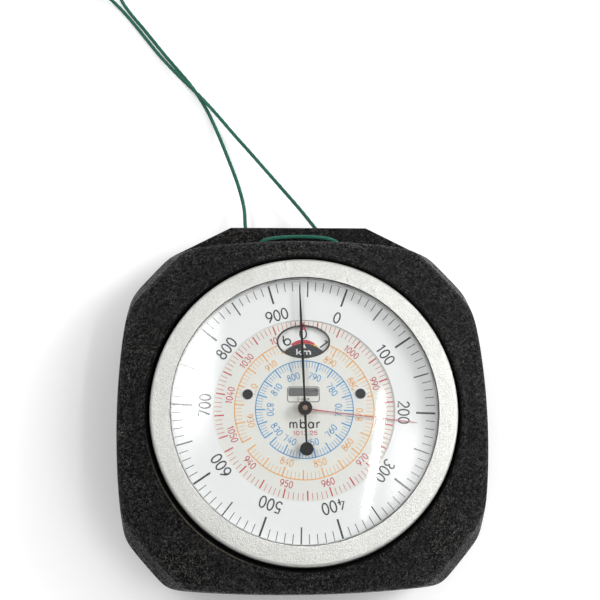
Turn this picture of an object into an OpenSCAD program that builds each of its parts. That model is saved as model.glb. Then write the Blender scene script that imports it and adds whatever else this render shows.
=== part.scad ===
/* [Case] */
// Width of the case at its widest line
case_w = 117; // [114:1:124]
// Height of the case without the cord tab
case_h = 111.4; // [110:0.2:118]
// Distance from the axis to the flat of a cut corner
corner_reach = 67.8; // [65:0.2:70]
// Direction of a cut corner from the horizontal
corner_dir = 42; // [40:1:45]
// Radius of the bowed left and right sides
side_bow = 270; // [200:10:400]
// Radius of the bowed top and bottom sides
end_bow = 420; // [300:10:600]
// Height of the line where the two shells meet
part_z = 20; // [20:0.5:21]
// Thickness of the gasket between the shells
gasket_t = 0.6; // [0.4:0.1:0.8]
// Thickness of the case wall
wall = 3.4; // [3:0.2:4]
// Thickness of the floor
floor_t = 2.2; // [2:0.1:2.6]

/* [Cord tab] */
// Distance from the axis to the outer edge of the tab
tab_reach = 64.5; // [63:0.5:66]
// Length of the flat outer edge
tab_flat = 46; // [40:1:50]
// Distance between the two cord holes
hole_gap = 26.8; // [24:0.2:28]
// Radius of a cord hole
hole_r = 1.1; // [1:0.05:1.3]

/* [Bezel and crystal] */
// Radius of the bezel at its foot
bezel_r = 47.7; // [47.2:0.1:48]
// Radius of the visible opening of the bezel
sight_r = 41.2; // [41:0.1:41.4]
// Height of the top of the bezel above the back
bezel_top = 35.9; // [35.6:0.1:36.4]
// Height of the crown of the crystal above the back
crystal_top = 41; // [40:0.5:43]

/* [Dials] */
// Inner radius of the altitude ring
ring_in = 28.3; // [28:0.1:28.6]
// Radius of the pressure dial under the ring
dial_r = 29.4; // [29:0.1:30]
// Width of the kilometre window
window_w = 16; // [15:0.5:17]
// Height of the kilometre window
window_h = 9.8; // [9:0.2:10.4]
// Distance of the window above the hand axis
window_y = 21.4; // [20:0.1:21.6]
// Length of the altitude hand
hand_len = 39.4; // [36:0.2:40]
// Length of the marker hand
marker_len = 35.2; // [34:0.1:36]
// Bearing of the altitude hand, clockwise from the top
hand_bearing = -1.6; // [-20:0.1:20]
// Bearing of the marker hand, clockwise from the top
marker_bearing = 97.4; // [60:0.1:120]

/* [Train] */
// Module of the train gears
train_m = 0.3; // [0.3:0.01:0.3]
// Module of the kilometre gears
km_m = 0.34; // [0.34:0.01:0.34]
// Teeth of every pinion
pinion_n = 12; // [12:1:12]
// Teeth of the train wheel
wheel_n = 96; // [96:1:96]
// Teeth of the kilometre wheel
km_n = 84; // [84:1:84]
// Teeth on the full circle of the sector
sector_n = 120; // [120:1:120]
// Pressure angle of the teeth
gear_pa = 25; // [25:1:27]
// Play of each tooth flank
gear_play = 0.02; // [0.015:0.005:0.03]

/* [Neck cord] */
// Diameter of the cord
cord_d = 1.3; // [1.2:0.05:1.4]
// Turns of the coil in each of its four layers
coil_turns = 3.28; // [3.28:0.01:3.28]
// Spacing of the turns in the coil
coil_pitch = 2.0; // [1.95:0.05:2.1]

/* [Hidden] */

$fn = 72;
eps = 0.01;
outline_steps = 120;
running_fit = 0.06;

// Heights of the levels, from the back of the case
rim_z = 30;
seat_z = 31;
opening_top_z = 28.5;
collar_z = 33.4;
back_plate_z = 4.5;
back_plate_top = 6.1;
front_plate_z = 24;
front_plate_top = 25.6;
disc_z = 29.7;
dial_z = 30.7;
dial_top = 31.3;
ring_z = 31.4;
ring_top = 31.8;
crystal_z = 34;
flange_top = 34.8;

// Radii round the opening
opening_r = 43;
recess_r = 48.5;
collar_r = 51.2;
skirt_r = opening_r - 0.08;
bore_r = 41.9;
plate_r = 38;
crystal_t = 0.9;

// Places of the arbors, seen from the front
pinion_r = pinion_n * train_m / 2;
train_dist = (pinion_n + wheel_n) * train_m / 2;
sector_dist = (pinion_n + sector_n) * train_m / 2;
km_pos = [0, (pinion_n + km_n) * km_m / 2];
sector_pos = [2, -16];
sector_far = norm(sector_pos);
sector_dir = atan2(sector_pos[1], sector_pos[0]);
train_turn = acos((pow(train_dist, 2) + pow(sector_far, 2) - pow(sector_dist, 2))
    / (2 * train_dist * sector_far));
train_dir = sector_dir - train_turn;
train_pos = train_dist * [cos(train_dir), sin(train_dir)];
mesh_dir = atan2(train_pos[1] - sector_pos[1], train_pos[0] - sector_pos[0]);
arbor_r = 0.6;

// Swing of the sector: its rest pose lies this far before the middle of its travel
sector_lean = 12.85;
sector_half = 18;
lever = 6;
lift = 4.5;
rocker_z = 15;
capsule_pos = [19, sector_pos[1] + lift];
capsule_r = 14.5;

// The tab's slanting sides run down into the case
tab_foot = 42;
tab_foot_y = 54.6;
tab_root = 39;
hole_y = 58.8;

// Places of the fasteners
shell_screw_pos = [for (x = [1, -1]) for (y = [1, -1]) [41.5 * x, 38.7 * y]];
pillar_pos = [for (a = [0:90:270]) 35 * [cos(a), sin(a)]];
mount_pos = [for (a = [45, 135, 225, 300]) 33 * [cos(a), sin(a)]];
dial_screw_pos = [[17.6, 4.7], [-17.6, 4.7]];

// Outline of the case as a distance from the axis in a given direction

function bow_reach(turn, half, bow) =
    -(bow - half) * cos(turn) + sqrt(pow(bow, 2) - pow((bow - half) * sin(turn), 2));

function cut_reach(turn, dist) = cos(turn) > 0.2 ? dist / cos(turn) : 5 * dist;

function soft_least(reaches, crisp) =
    pow([for (r = reaches) 1] * [for (r = reaches) pow(r / 60, -crisp)], -1 / crisp) * 60;

corner_dirs = [corner_dir, 180 - corner_dir, 180 + corner_dir, -corner_dir];

// The cut corners may be drawn in by a trim of their own
function case_reach(a, inset, crisp, trim = 0) = soft_least([
    for (k = [0, 1]) bow_reach(a - 180 * k, case_w / 2 - inset, side_bow),
    for (k = [0, 1]) bow_reach(a - 90 - 180 * k, case_h / 2 - inset, end_bow),
    for (s = corner_dirs) cut_reach(a - s, corner_reach - inset - trim)], crisp);

function case_outline(inset, trim = 0) = [
    for (i = [0:outline_steps - 1])
        let (a = 360 * i / outline_steps)
        case_reach(a, inset, 60, trim) * [cos(a), sin(a)]];

// A ring of points: its height, inset, crispness of corners, share of a circle mixed in,
// how far the corners drop, and the trim of the corners
function shell_ring(z, inset, crisp, roundness = 0, drop = 0, trim = 0) = [
    for (i = [0:outline_steps - 1])
        let (a = 360 * i / outline_steps)
        let (free = case_reach(a, inset, crisp, trim))
        let (r = roundness * collar_r + (1 - roundness) * free)
        let (corner = max(0, free - case_h / 2 + inset) / 12)
        [r * cos(a), r * sin(a), z - drop * corner]];

// The low pad that the case rests on has eight straight sides
pad_inset = 7.5;
pad_x = case_w / 2 - pad_inset;
pad_y = case_h / 2 - pad_inset;
pad_cut = corner_reach - pad_inset;
pad_low = (pad_cut - pad_x * cos(corner_dir)) / sin(corner_dir);
pad_near = (pad_cut - pad_y * sin(corner_dir)) / cos(corner_dir);
pad_corners = [[pad_x, pad_low], [pad_near, pad_y], [-pad_near, pad_y], [-pad_x, pad_low],
    [-pad_x, -pad_low], [-pad_near, -pad_y], [pad_near, -pad_y], [pad_x, -pad_low]];

function circle_ring(z, r) = [
    for (i = [0:outline_steps - 1])
        let (a = 360 * i / outline_steps)
        [r * cos(a), r * sin(a), z]];

// A closed skin over a stack of rings with the same number of points, lowest ring first
module skin(rings) {
    n = len(rings[0]);
    m = len(rings);
    points = [for (ring = rings) each ring];
    sides = [for (k = [0:m - 2]) for (i = [0:n - 1])
        let (j = (i + 1) % n)
        each [[k * n + i, (k + 1) * n + i, (k + 1) * n + j],
            [k * n + i, (k + 1) * n + j, k * n + j]]];
    first = [[for (i = [0:n - 1]) i]];
    last = [[for (i = [n - 1:-1:0]) (m - 1) * n + i]];
    polyhedron(points, concat(sides, first, last), convexity = 8);
}

// A drum between two heights, with an optional hole
module drum(r, z0, z1, hole = 0) {
    translate([0, 0, z0])
        linear_extrude(z1 - z0)
            difference() {
                circle(r);
                if (hole > 0) circle(hole);
            }
}

module at(places) {
    for (p = places) translate([p[0], p[1], 0]) children();
}

module front_shell() {
    color([0.09, 0.09, 0.095])
    difference() {
        union() {
            difference() {
                skin([
                    shell_ring(part_z, 0.35, 60, 0, 0, 0.5),
                    shell_ring(part_z + 0.5, 0, 60, 0, 0, 0.6),
                    shell_ring(part_z + 4, 0.1, 55, 0, 0.6, 2.3),
                    shell_ring(rim_z - 0.8, 0.4, 45, 0, 3.8, 3.4),
                    shell_ring(rim_z + 0.6, 1.0, 36, 0, 4.5, 3.6),
                    shell_ring(rim_z + 1.4, 2.2, 30, 0.02, 4.6, 3.6),
                    shell_ring(rim_z + 2.0, 4.0, 26, 0.4, 3.2, 3.4),
                    shell_ring(rim_z + 2.4, 4.8, 22, 0.85, 1, 3.4),
                    circle_ring(rim_z + 2.7, collar_r),
                    circle_ring(collar_z - 0.4, collar_r - 0.5),
                    circle_ring(collar_z, collar_r - 1.3),
                    circle_ring(collar_z, collar_r - 2.2)]);
                translate([0, 0, part_z - 1])
                    linear_extrude(rim_z - part_z - 3)
                        polygon(case_outline(wall, 4.4));
            }
            at(shell_screw_pos) drum(3.6, part_z, rim_z - 4.5);
        }
        drum(recess_r, seat_z, collar_z + 2);
        drum(opening_r, part_z - 1, collar_z);
        drum(recess_r - 1.5, part_z - 1, opening_top_z);
        at(shell_screw_pos) drum(1.25, part_z - 1, part_z + 4.4);
    }
}

module tab_plate() {
    translate([0, 0, 9])
        linear_extrude(7)
            difference() {
                polygon([[-tab_root, 50], [-tab_foot, tab_foot_y],
                    [-tab_flat / 2 - 1, tab_reach - 0.5], [-tab_flat / 2, tab_reach],
                    [tab_flat / 2, tab_reach], [tab_flat / 2 + 1, tab_reach - 0.5],
                    [tab_foot, tab_foot_y], [tab_root, 50]]);
                for (s = [-1, 1]) translate([s * hole_gap / 2, hole_y]) circle(hole_r);
            }
}

module back_shell() {
    color([0.085, 0.085, 0.09])
    difference() {
        union() {
            difference() {
                union() {
                    linear_extrude(1) polygon(pad_corners);
                    skin([
                        shell_ring(0.35, 5.2, 32),
                        shell_ring(0.7, 3.4, 34),
                        shell_ring(2.4, 1.8, 40),
                        shell_ring(6, 0.9, 50),
                        shell_ring(13, 0.3, 60),
                        shell_ring(part_z - gasket_t - 0.5, 0, 60, 0, 0, 0.5),
                        shell_ring(part_z - gasket_t, 0.35, 60, 0, 0, 0.5)]);
                    tab_plate();
                }
                translate([0, 0, floor_t])
                    linear_extrude(part_z)
                        polygon(case_outline(wall + 1.2));
            }
            at(shell_screw_pos) drum(3.6, 1, part_z - gasket_t);
            at(mount_pos) drum(3, 1, 3.9);
        }
        at(shell_screw_pos) drum(2.5, -1, 2.3);
        at(shell_screw_pos) drum(1.3, 1, part_z);
        at(mount_pos) drum(1.05, 1.4, 5);
        translate([capsule_pos[0], capsule_pos[1], 0]) drum(2.2 + running_fit, -1, 4);
    }
}

module case_gasket() {
    color([0.12, 0.12, 0.12])
    translate([0, 0, part_z - gasket_t])
        linear_extrude(gasket_t)
            difference() {
                polygon(case_outline(0.7, 0.5));
                polygon(case_outline(wall - 0.2));
                for (p = shell_screw_pos) translate(p) circle(1.6);
            }
}

// A slotted screw pointing up or down: head radius, head height, shank radius and length
module screw(head_r, head_h, shank_r, length, slot = 0.5) {
    difference() {
        drum(head_r, 0, head_h);
        translate([-head_r - 1, -slot / 2, head_h - 0.5 * head_h])
            cube([2 * head_r + 2, slot, head_h]);
    }
    drum(shank_r, -length, 0);
}

module shell_screws() {
    color([0.2, 0.2, 0.21])
    at(shell_screw_pos)
        translate([0, 0, 2.3])
            mirror([0, 0, 1])
                screw(2.4, 1.7, 1.2, 21.5);
}

module bezel() {
    color([0.78, 0.78, 0.76])
    rotate_extrude($fn = 180)
        polygon([
            [skirt_r, seat_z + 0.3], [bezel_r - 0.4, seat_z + 0.3], [bezel_r, seat_z + 0.7],
            [bezel_r, seat_z + 1.4], [bezel_r - 0.5, bezel_top - 1.1],
            [bezel_r - 1.3, bezel_top - 0.15], [bezel_r - 1.8, bezel_top],
            [sight_r + 0.5, bezel_top - 0.4], [sight_r, bezel_top - 0.7],
            [sight_r, flange_top], [bore_r, flange_top], [bore_r, 27.2], [skirt_r, 27.2],
            [skirt_r, 27.6], [skirt_r - 0.6, 27.6], [skirt_r - 0.6, 28.25], [skirt_r, 28.25]]);
}

module bezel_spring() {
    color([0.7, 0.7, 0.68])
    difference() {
        drum(44.6, 27.65, 28.2, skirt_r - 0.6);
        translate([-1.5, -46, 27]) cube([3, 5, 2]);
    }
}

// Height of a spherical cap above its rim
function cap_z(r, half, rise) =
    let (ball = (half * half + rise * rise) / (2 * rise))
    sqrt(ball * ball - r * r) - (ball - rise);

module crystal() {
    rim_r = sight_r - 0.2;
    clear_r = rim_r - crystal_t;
    rise = crystal_top - flange_top - 1;
    steps = 14;
    outer = [for (i = [0:steps]) let (r = rim_r * (1 - i / steps))
        [r, flange_top + 1 + cap_z(r, rim_r, rise)]];
    inner = [for (i = [0:steps]) let (r = clear_r * i / steps)
        [r, flange_top + 1 - crystal_t + cap_z(r, clear_r, rise)]];
    color([0.85, 0.9, 0.92, 0.25])
    rotate_extrude($fn = 120)
        polygon(concat([[clear_r, crystal_z], [bore_r - 0.05, crystal_z],
            [bore_r - 0.05, flange_top], [rim_r, flange_top]], outer, inner));
}

module crystal_spacer() {
    color([0.6, 0.6, 0.6])
    drum(bore_r - 0.05, ring_top, crystal_z, sight_r - 0.3, $fn = 120);
}

module altitude_ring() {
    color([0.95, 0.95, 0.94])
    drum(bore_r - 0.05, ring_z, ring_top, ring_in, $fn = 120);
}

module scale_retainer() {
    color([0.72, 0.68, 0.5])
    drum(bore_r, 29.8, ring_z, 40.2, $fn = 120);
}

// The window: an ellipse less the round-topped segment left standing for the unit
module window_shape() {
    segment_r = 8.6;
    difference() {
        translate([0, window_y])
            polygon([for (a = [0:7.5:352.5]) [window_w / 2 * cos(a), window_h / 2 * sin(a)]]);
        translate([0, window_y - 0.6 - segment_r]) circle(segment_r);
    }
}

module pressure_dial() {
    color([0.9, 0.89, 0.86])
    translate([0, 0, dial_z])
        linear_extrude(dial_top - dial_z)
            difference() {
                circle(dial_r, $fn = 120);
                circle(1.5);
                window_shape();
                for (p = dial_screw_pos) translate(p) circle(0.75);
            }
}

module dial_posts() {
    color([0.75, 0.65, 0.4])
    at(dial_screw_pos)
        difference() {
            drum(1.9, front_plate_top, dial_z);
            drum(0.75, 27, dial_z + 1);
        }
}

module dial_screws() {
    color([0.15, 0.15, 0.16])
    at(dial_screw_pos)
        translate([0, 0, dial_top])
            rotate([0, 0, 30])
                screw(1.55, 0.5, 0.7, 3.2, 0.35);
}

module centre_tube() {
    color([0.75, 0.65, 0.4])
    drum(1.5, 29, 32.8, 0.95);
}

// A flat tapering blade along +Y, given as pairs of distance and half width
module blade(stations) {
    polygon(concat([for (s = stations) [s[1], s[0]]],
        [for (i = [len(stations) - 1:-1:0]) [-stations[i][1], stations[i][0]]]));
}

module marker_hand() {
    color([0.8, 0.1, 0.1])
    rotate([0, 0, -marker_bearing])
        union() {
            drum(2.1, 31.95, 32.4, 1.5 + running_fit);
            translate([0, 0, 32.05])
                linear_extrude(0.2)
                    difference() {
                        union() {
                            blade([[0, 0.25], [10, 0.14], [marker_len - 1, 0.11], [marker_len, 0.05]]);
                            translate([-0.9, marker_len - 2.4]) square([1.8, 0.2]);
                        }
                        circle(1.8);
                    }
        }
}

module altitude_hand() {
    color([0.06, 0.06, 0.06])
    rotate([0, 0, -hand_bearing])
        difference() {
            union() {
                translate([0, 0, 33.3])
                    linear_extrude(0.25)
                        union() {
                            circle(1.9);
                            blade([[0, 0.4], [5, 0.3], [14, 0.4], [30, 0.36], [hand_len - 3, 0.22],
                                [hand_len, 0.08]]);
                            mirror([0, 1]) blade([[0, 0.4], [11, 0.3]]);
                        }
                translate([0, -12.5, 0]) drum(2.05, 33.15, 33.75);
            }
            drum(1, 33, 34);
        }
}

module hand_boss() {
    color([0.1, 0.09, 0.08])
    union() {
        drum(2.2, 33.55, 34.3, arbor_r);
        drum(1, 32.95, 33.56, arbor_r);
    }
}

// Teeth by the involute of the base circle, as one closed outline

function involute_angle(r, base) =
    let (a = acos(min(1, base / r)))
    tan(a) * 180 / PI - a;

function tooth_half(r, n, m) =
    let (pitch = n * m / 2)
    let (base = pitch * cos(gear_pa))
    (90 / n) - (gear_play / pitch) * 180 / PI
        + involute_angle(pitch, base) - involute_angle(max(r, base), base);

// Points of one tooth at a given direction, from its right root to its left root
function tooth(n, m, dir) =
    let (pitch = n * m / 2)
    let (base = pitch * cos(gear_pa))
    let (root = pitch - 1.15 * m)
    let (tip = pitch + 0.8 * m)
    let (low = max(root + 0.08 * m, base))
    let (radii = [root, low, (low + pitch) / 2, pitch, (pitch + tip) / 2, tip])
    concat(
        [for (r = radii) let (a = dir - tooth_half(r, n, m)) r * [cos(a), sin(a)]],
        [for (i = [len(radii) - 1:-1:0]) let (a = dir + tooth_half(radii[i], n, m))
            radii[i] * [cos(a), sin(a)]]);

// A gear with one tooth in the given direction
module gear_shape(n, m, dir) {
    polygon([for (k = [0:n - 1]) each tooth(n, m, dir + 360 * k / n)]);
}

module gear(n, m, dir, z0, z1, hole) {
    translate([0, 0, z0])
        linear_extrude(z1 - z0)
            difference() {
                gear_shape(n, m, dir);
                if (hole > 0) circle(hole, $fn = 36);
            }
}

// A wheel is a gear with four round windows between its arms
module wheel(n, m, dir, z0, z1) {
    pitch = n * m / 2;
    difference() {
        gear(n, m, dir, z0, z1, arbor_r);
        for (a = [45:90:315])
            rotate([0, 0, a])
                translate([pitch * 0.55, 0, 0])
                    drum(pitch * 0.28, z0 - 1, z1 + 1, $fn = 36);
    }
}

module hand_arbor() {
    color([0.75, 0.5, 0.35])
    union() {
        drum(arbor_r, 4.7, 34.5);
        drum(0.78, 34.3, 34.7);
        gear(pinion_n, train_m, train_dir, 16.8, 18.6, 0);
        gear(pinion_n, km_m, 90, 26.4, 28.2, 0);
    }
}

module km_wheel() {
    color([0.78, 0.66, 0.38])
    translate([km_pos[0], km_pos[1], 0])
        wheel(km_n, km_m, -90 + 180 / km_n, 27, 27.7);
}

module km_arbor() {
    color([0.7, 0.7, 0.7])
    translate([km_pos[0], km_pos[1], 0]) drum(arbor_r, 4.7, disc_z + 0.5);
}

module km_disc() {
    color([0.93, 0.93, 0.92])
    translate([km_pos[0], km_pos[1], 0]) drum(10.6, disc_z, disc_z + 0.4, arbor_r, $fn = 96);
}

arbor_places = [[0, 0], km_pos, train_pos, sector_pos];

module front_plate() {
    color([0.78, 0.68, 0.42])
    difference() {
        drum(plate_r, front_plate_z, front_plate_top, $fn = 120);
        at(arbor_places) drum(1.2, front_plate_z - 1, front_plate_top + 1);
        at(pillar_pos) drum(1, front_plate_z - 1, front_plate_top + 1);
    }
}

module back_plate() {
    color([0.78, 0.68, 0.42])
    difference() {
        drum(plate_r, back_plate_z, back_plate_top, $fn = 120);
        at(arbor_places) drum(1.2, back_plate_z - 1, back_plate_top + 1);
        at(pillar_pos) drum(1, back_plate_z - 1, back_plate_top + 1);
        at(mount_pos) drum(1.1, back_plate_z - 1, back_plate_top + 1);
        translate([capsule_pos[0], capsule_pos[1], 0])
            drum(1.2 + running_fit, back_plate_z - 1, back_plate_top + 1);
    }
}

module plate_pillars() {
    color([0.8, 0.7, 0.45])
    at(pillar_pos)
        difference() {
            drum(2.2, back_plate_top, front_plate_z);
            drum(0.95, back_plate_top - 1, back_plate_top + 4);
            drum(0.95, front_plate_z - 4, front_plate_z + 1);
        }
}

module plate_screws() {
    color([0.35, 0.4, 0.5])
    at(pillar_pos) {
        translate([0, 0, front_plate_top]) screw(2, 0.9, 0.9, 4.6);
        translate([0, 0, back_plate_z]) mirror([0, 0, 1]) screw(2, 0.9, 0.9, 4.6);
    }
}

module jewel_bearings() {
    color([0.7, 0.1, 0.25])
    at(arbor_places) {
        drum(1.2, front_plate_z, front_plate_top, arbor_r + running_fit);
        drum(1.2, back_plate_z, back_plate_top, arbor_r + running_fit);
    }
}

module mounting_screws() {
    color([0.4, 0.4, 0.42])
    at(mount_pos) translate([0, 0, back_plate_top]) screw(2, 0.9, 1, 4.5);
}

module shock_washers() {
    color([0.1, 0.1, 0.1])
    at(mount_pos) drum(2.9, 3.9, back_plate_z, 1.1);
}

module train_wheel() {
    color([0.78, 0.66, 0.38])
    translate([train_pos[0], train_pos[1], 0])
        wheel(wheel_n, train_m, train_dir + 180 + 180 / wheel_n, 17.2, 18.2);
}

module train_arbor() {
    color([0.72, 0.72, 0.72])
    translate([train_pos[0], train_pos[1], 0])
        union() {
            drum(arbor_r, 4.7, 25.4);
            drum(1.3, 13.2, 14.4);
            gear(pinion_n, train_m, mesh_dir + 180, 20.2, 22, 0);
        }
}

// The hairspring is a flat strip on a steady spiral
spring_turns = 4.5;
spring_in = 1.5;
spring_out = 6;
spring_t = 0.16;
spring_steps = 108;

function spring_point(i, side) =
    let (s = i / spring_steps)
    let (r = spring_in + (spring_out - spring_in) * s + side * spring_t / 2)
    let (a = 360 * spring_turns * s)
    r * [cos(a), sin(a)];

module hairspring() {
    color([0.3, 0.35, 0.55])
    translate([train_pos[0], train_pos[1], 13.4])
        linear_extrude(0.8)
            polygon(concat([for (i = [0:spring_steps]) spring_point(i, 1)],
                [for (i = [spring_steps:-1:0]) spring_point(i, -1)]));
}

module hairspring_stud() {
    color([0.8, 0.7, 0.45])
    translate([train_pos[0] - spring_out - 0.68, train_pos[1], 0])
        drum(0.6, back_plate_top, 14.6);
}

// The sector: a toothed arc, two arms and a forked tail that the rocking lever turns
module sector_shape() {
    pitch = sector_n * train_m / 2;
    step = 360 / sector_n;
    centre = mesh_dir + sector_lean;
    first = ceil((sector_half - sector_lean) / step);
    union() {
        polygon(concat(
            [for (k = [-first:floor((sector_half + sector_lean) / step)])
                each tooth(sector_n, train_m, mesh_dir + (k + 0.5) * step)],
            [for (a = [sector_half + 1:-4:-sector_half - 1])
                (pitch - 2.4) * [cos(centre + a), sin(centre + a)]]));
        for (a = [-13, 13])
            rotate([0, 0, centre + a])
                translate([0, -0.6]) square([pitch - 1.2, 1.2]);
        circle(2);
    }
}

module sector_gear() {
    color([0.78, 0.66, 0.38])
    translate([sector_pos[0], sector_pos[1], 20.6])
        linear_extrude(1)
            difference() {
                union() {
                    sector_shape();
                    rotate([0, 0, sector_lean])
                        translate([0, -1.6]) square([lever + 1.3, 3.2]);
                }
                circle(arbor_r, $fn = 36);
                rotate([0, 0, sector_lean])
                    translate([lever - 1.2, -0.85]) square([3, 1.7]);
            }
}

module sector_arbor() {
    color([0.72, 0.72, 0.72])
    translate([sector_pos[0], sector_pos[1], 0]) drum(arbor_r, 4.7, 25.4);
}

// The rocking shaft lies along X; its upright pushes the sector, its strip rests on the stem
module on_rocker() {
    translate([0, sector_pos[1], rocker_z])
        rotate([-sector_lean, 0, 0]) children();
}

module rod_x(r, x0, x1) {
    translate([x0, 0, 0]) rotate([0, 90, 0]) cylinder(r = r, h = x1 - x0);
}

module rocking_shaft() {
    color([0.72, 0.72, 0.72])
    on_rocker()
        union() {
            rod_x(0.8, 7.2, 25.2);
            rod_x(1.3, 17.7, 20.3);
            translate([sector_pos[0] + lever, 0, 0]) cylinder(r = 0.5, h = 7.3);
        }
}

module bimetal_strip() {
    color([0.8, 0.6, 0.35])
    on_rocker()
        union() {
            translate([17.9, 1.3, -0.2]) cube([2.2, lift - 1.3, 0.4]);
            translate([0, lift, 0]) rod_x(0.4, 17.9, 20.1);
        }
}

module rocker_brackets() {
    color([0.8, 0.7, 0.45])
    for (x = [11, 23])
        difference() {
            translate([x, sector_pos[1] - 2.2, 13.4]) cube([1.6, 4.4, front_plate_z - 13.4]);
            translate([0, sector_pos[1], rocker_z]) rod_x(0.8 + running_fit, x - 1, x + 3);
        }
}

// Height of the underside of the strip's tip at rest
tip_z = rocker_z - lift * sin(sector_lean) - 0.4;

module capsule_stem() {
    color([0.75, 0.75, 0.75])
    translate([capsule_pos[0], capsule_pos[1], 0])
        union() {
            drum(0.7, 12, tip_z - 0.1);
            drum(1.6, 12, 12.4);
        }
}

// One wall of a capsule is a shallow wave that dies out at the rim
function capsule_wall(z, side) = [
    for (i = [0:28])
        let (r = 2 + (capsule_r - 2) * i / 28)
        [r, z + side * (0.75 - 0.05 * sin(i * 90) + 0.22 * sin(r * 150) * (1 - i / 28))]];

module capsule(z) {
    rotate_extrude($fn = 72)
        polygon(concat([[0, z - 0.9]], capsule_wall(z, -1), [[capsule_r, z - 0.2]],
            [[capsule_r, z + 0.2]], [for (i = [28:-1:0]) capsule_wall(z, 1)[i]],
            [[0, z + 0.9]]));
}

module capsule_stack() {
    color([0.78, 0.72, 0.5])
    translate([capsule_pos[0], capsule_pos[1], 0])
        union() {
            capsule(8.2);
            capsule(10.8);
            drum(2, 8.2, 10.8);
            drum(2.6, 10.8, 12);
            drum(2.6, 7.2, 8.2);
        }
}

module capsule_post() {
    color([0.78, 0.68, 0.42])
    translate([capsule_pos[0], capsule_pos[1], 0]) drum(3.6, back_plate_top, 7.2);
}

module zero_screw() {
    color([0.72, 0.62, 0.4])
    translate([capsule_pos[0], capsule_pos[1], 2])
        mirror([0, 0, 1])
            screw(2.2, 1.5, 1.2, 3.9, 0.6);
}

// The neck cord: a smooth curve through points chosen by hand, swept as a tube

function curve_point(a, b, c, d, t) =
    0.5 * (2 * b + (c - a) * t + (2 * a - 5 * b + 4 * c - d) * t * t
        + (3 * b - a - 3 * c + d) * t * t * t);

function smooth(route, parts) =
    let (n = len(route))
    concat([for (k = [0:n - 2]) for (i = [0:parts - 1])
        curve_point(route[max(0, k - 1)], route[k], route[k + 1], route[min(n - 1, k + 2)],
            i / parts)],
        [route[n - 1]]);

function unit(v) = v / norm(v);

// A ring of points round each point of the path, square to the path
function tube_ring(path, i, r, sides, up) =
    let (along = unit(path[min(len(path) - 1, i + 1)] - path[max(0, i - 1)]))
    let (across = unit(cross(up, along)))
    let (over = cross(along, across))
    [for (k = [0:sides - 1])
        let (a = 360 * (k + 0.5) / sides)
        path[i] + r * (cos(a) * across + sin(a) * over)];

module tube(path, r, sides, up) {
    skin([for (i = [0:len(path) - 1]) tube_ring(path, i, r, sides, up)]);
}

cord_r = cord_d / 2;
cord_z = 0.7;
upward = [0, 0, 1];
outward = [0, 1, 0];

arc_route = [[-16.5, 64, 6], [-14.9, 61.4, 6.1], [-13.8, 59.4, 7.2], [-13.4, hole_y, 9.5],
    [-13.4, hole_y, 14], [-12.9, 59.1, 16.4], [-10.6, 60.3, 16.9], [-6.4, 61.2, 16.8],
    [0, 61.6, 16.8], [6.4, 61.3, 16.8], [10.6, 60.4, 16.9], [12.9, 59.1, 16.4],
    [13.4, hole_y, 14], [13.4, hole_y, 9.5], [13.1, 59.5, 7.2], [11.6, 61.3, 6.1], [9.2, 64, 6]];

left_route = [[-16.5, 64, 6], [-18, 67.4, 5.9], [-18.6, 75.4, 5.2], [-20.8, 84.6, 4.2],
    [-24.4, 95.2, 3], [-28.4, 106, 1.8], [-32.4, 115.2, 0.9], [-37.4, 123.6, cord_z],
    [-43, 130.8, cord_z], [-48, 137, cord_z], [-55.6, 147, cord_z], [-60.8, 153.6, cord_z],
    [-64.4, 159.2, cord_z], [-66.8, 166, cord_z], [-67.2, 172.4, cord_z],
    [-67.4, 175.8, cord_z]];

right_route = [[9.2, 64, 6], [6.2, 68, 5.8], [1.2, 74.8, 5.4], [-4.6, 82.2, 4.8],
    [-10.6, 89.8, 4.1], [-16.6, 97.4, 3.4], [-22.4, 104.6, 2.8], [-28.2, 112, 2.4],
    [-33.8, 118.6, 2.3], [-38.8, 123.8, 2.2], [-43.4, 128.8, 1.8], [-47.6, 133.8, 1.2],
    [-51.4, 138.6, 0.8], [-58.6, 148.2, cord_z], [-63.6, 154.4, cord_z],
    [-67, 157.8, 1.3], [-70.6, 160.6, 2.6], [-74.2, 162.8, 4.2], [-77.6, 164.6, 5.6],
    [-80.4, 166, 6.5]];

// The coil: four layers, spiralling in, out, in and out, each half turn of climb between
coil_centre = [-78, 176];
coil_mid = 7.15;
coil_in = coil_mid - coil_turns * coil_pitch / 2;
coil_out = coil_mid + coil_turns * coil_pitch / 2;
coil_start = 17.5;
coil_all = 4 * coil_turns + 1.5;
coil_rings = 24;

function coil_layer(t) = min(3, floor(t / (coil_turns + 0.5)));

function coil_point(t) =
    let (k = coil_layer(t))
    let (s = t - k * (coil_turns + 0.5))
    let (run = min(1, s / coil_turns))
    let (climb = max(0, s - coil_turns) / 0.5)
    let (r = k % 2 == 0 ? coil_out + (coil_in - coil_out) * run
        : coil_in + (coil_out - coil_in) * run)
    let (a = coil_start + 360 * t)
    [coil_centre[0] + r * cos(a), coil_centre[1] + r * sin(a),
        cord_z + coil_pitch * (k + climb)];

coil_path = [for (i = [0:ceil(coil_all * coil_rings)])
    coil_point(coil_all * i / ceil(coil_all * coil_rings))];

// Least gap of the coil to itself, between points at least half a turn apart
coil_gap = min([for (i = [0:len(coil_path) - 1]) for (j = [i + 12:len(coil_path) - 1])
    norm(coil_path[i] - coil_path[j])]) - cord_d;
echo(coil_gap = coil_gap);

module cord_arc() {
    color([0.1, 0.4, 0.31]) tube(smooth(arc_route, 3), cord_r, 8, outward);
}

module cord_left() {
    color([0.1, 0.4, 0.31]) tube(concat(smooth(left_route, 2), [coil_path[0]]), cord_r, 8, upward);
}

module cord_right() {
    color([0.1, 0.4, 0.31])
    tube(concat(smooth(right_route, 2), [coil_path[len(coil_path) - 1]]), cord_r, 8, upward);
}

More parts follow.
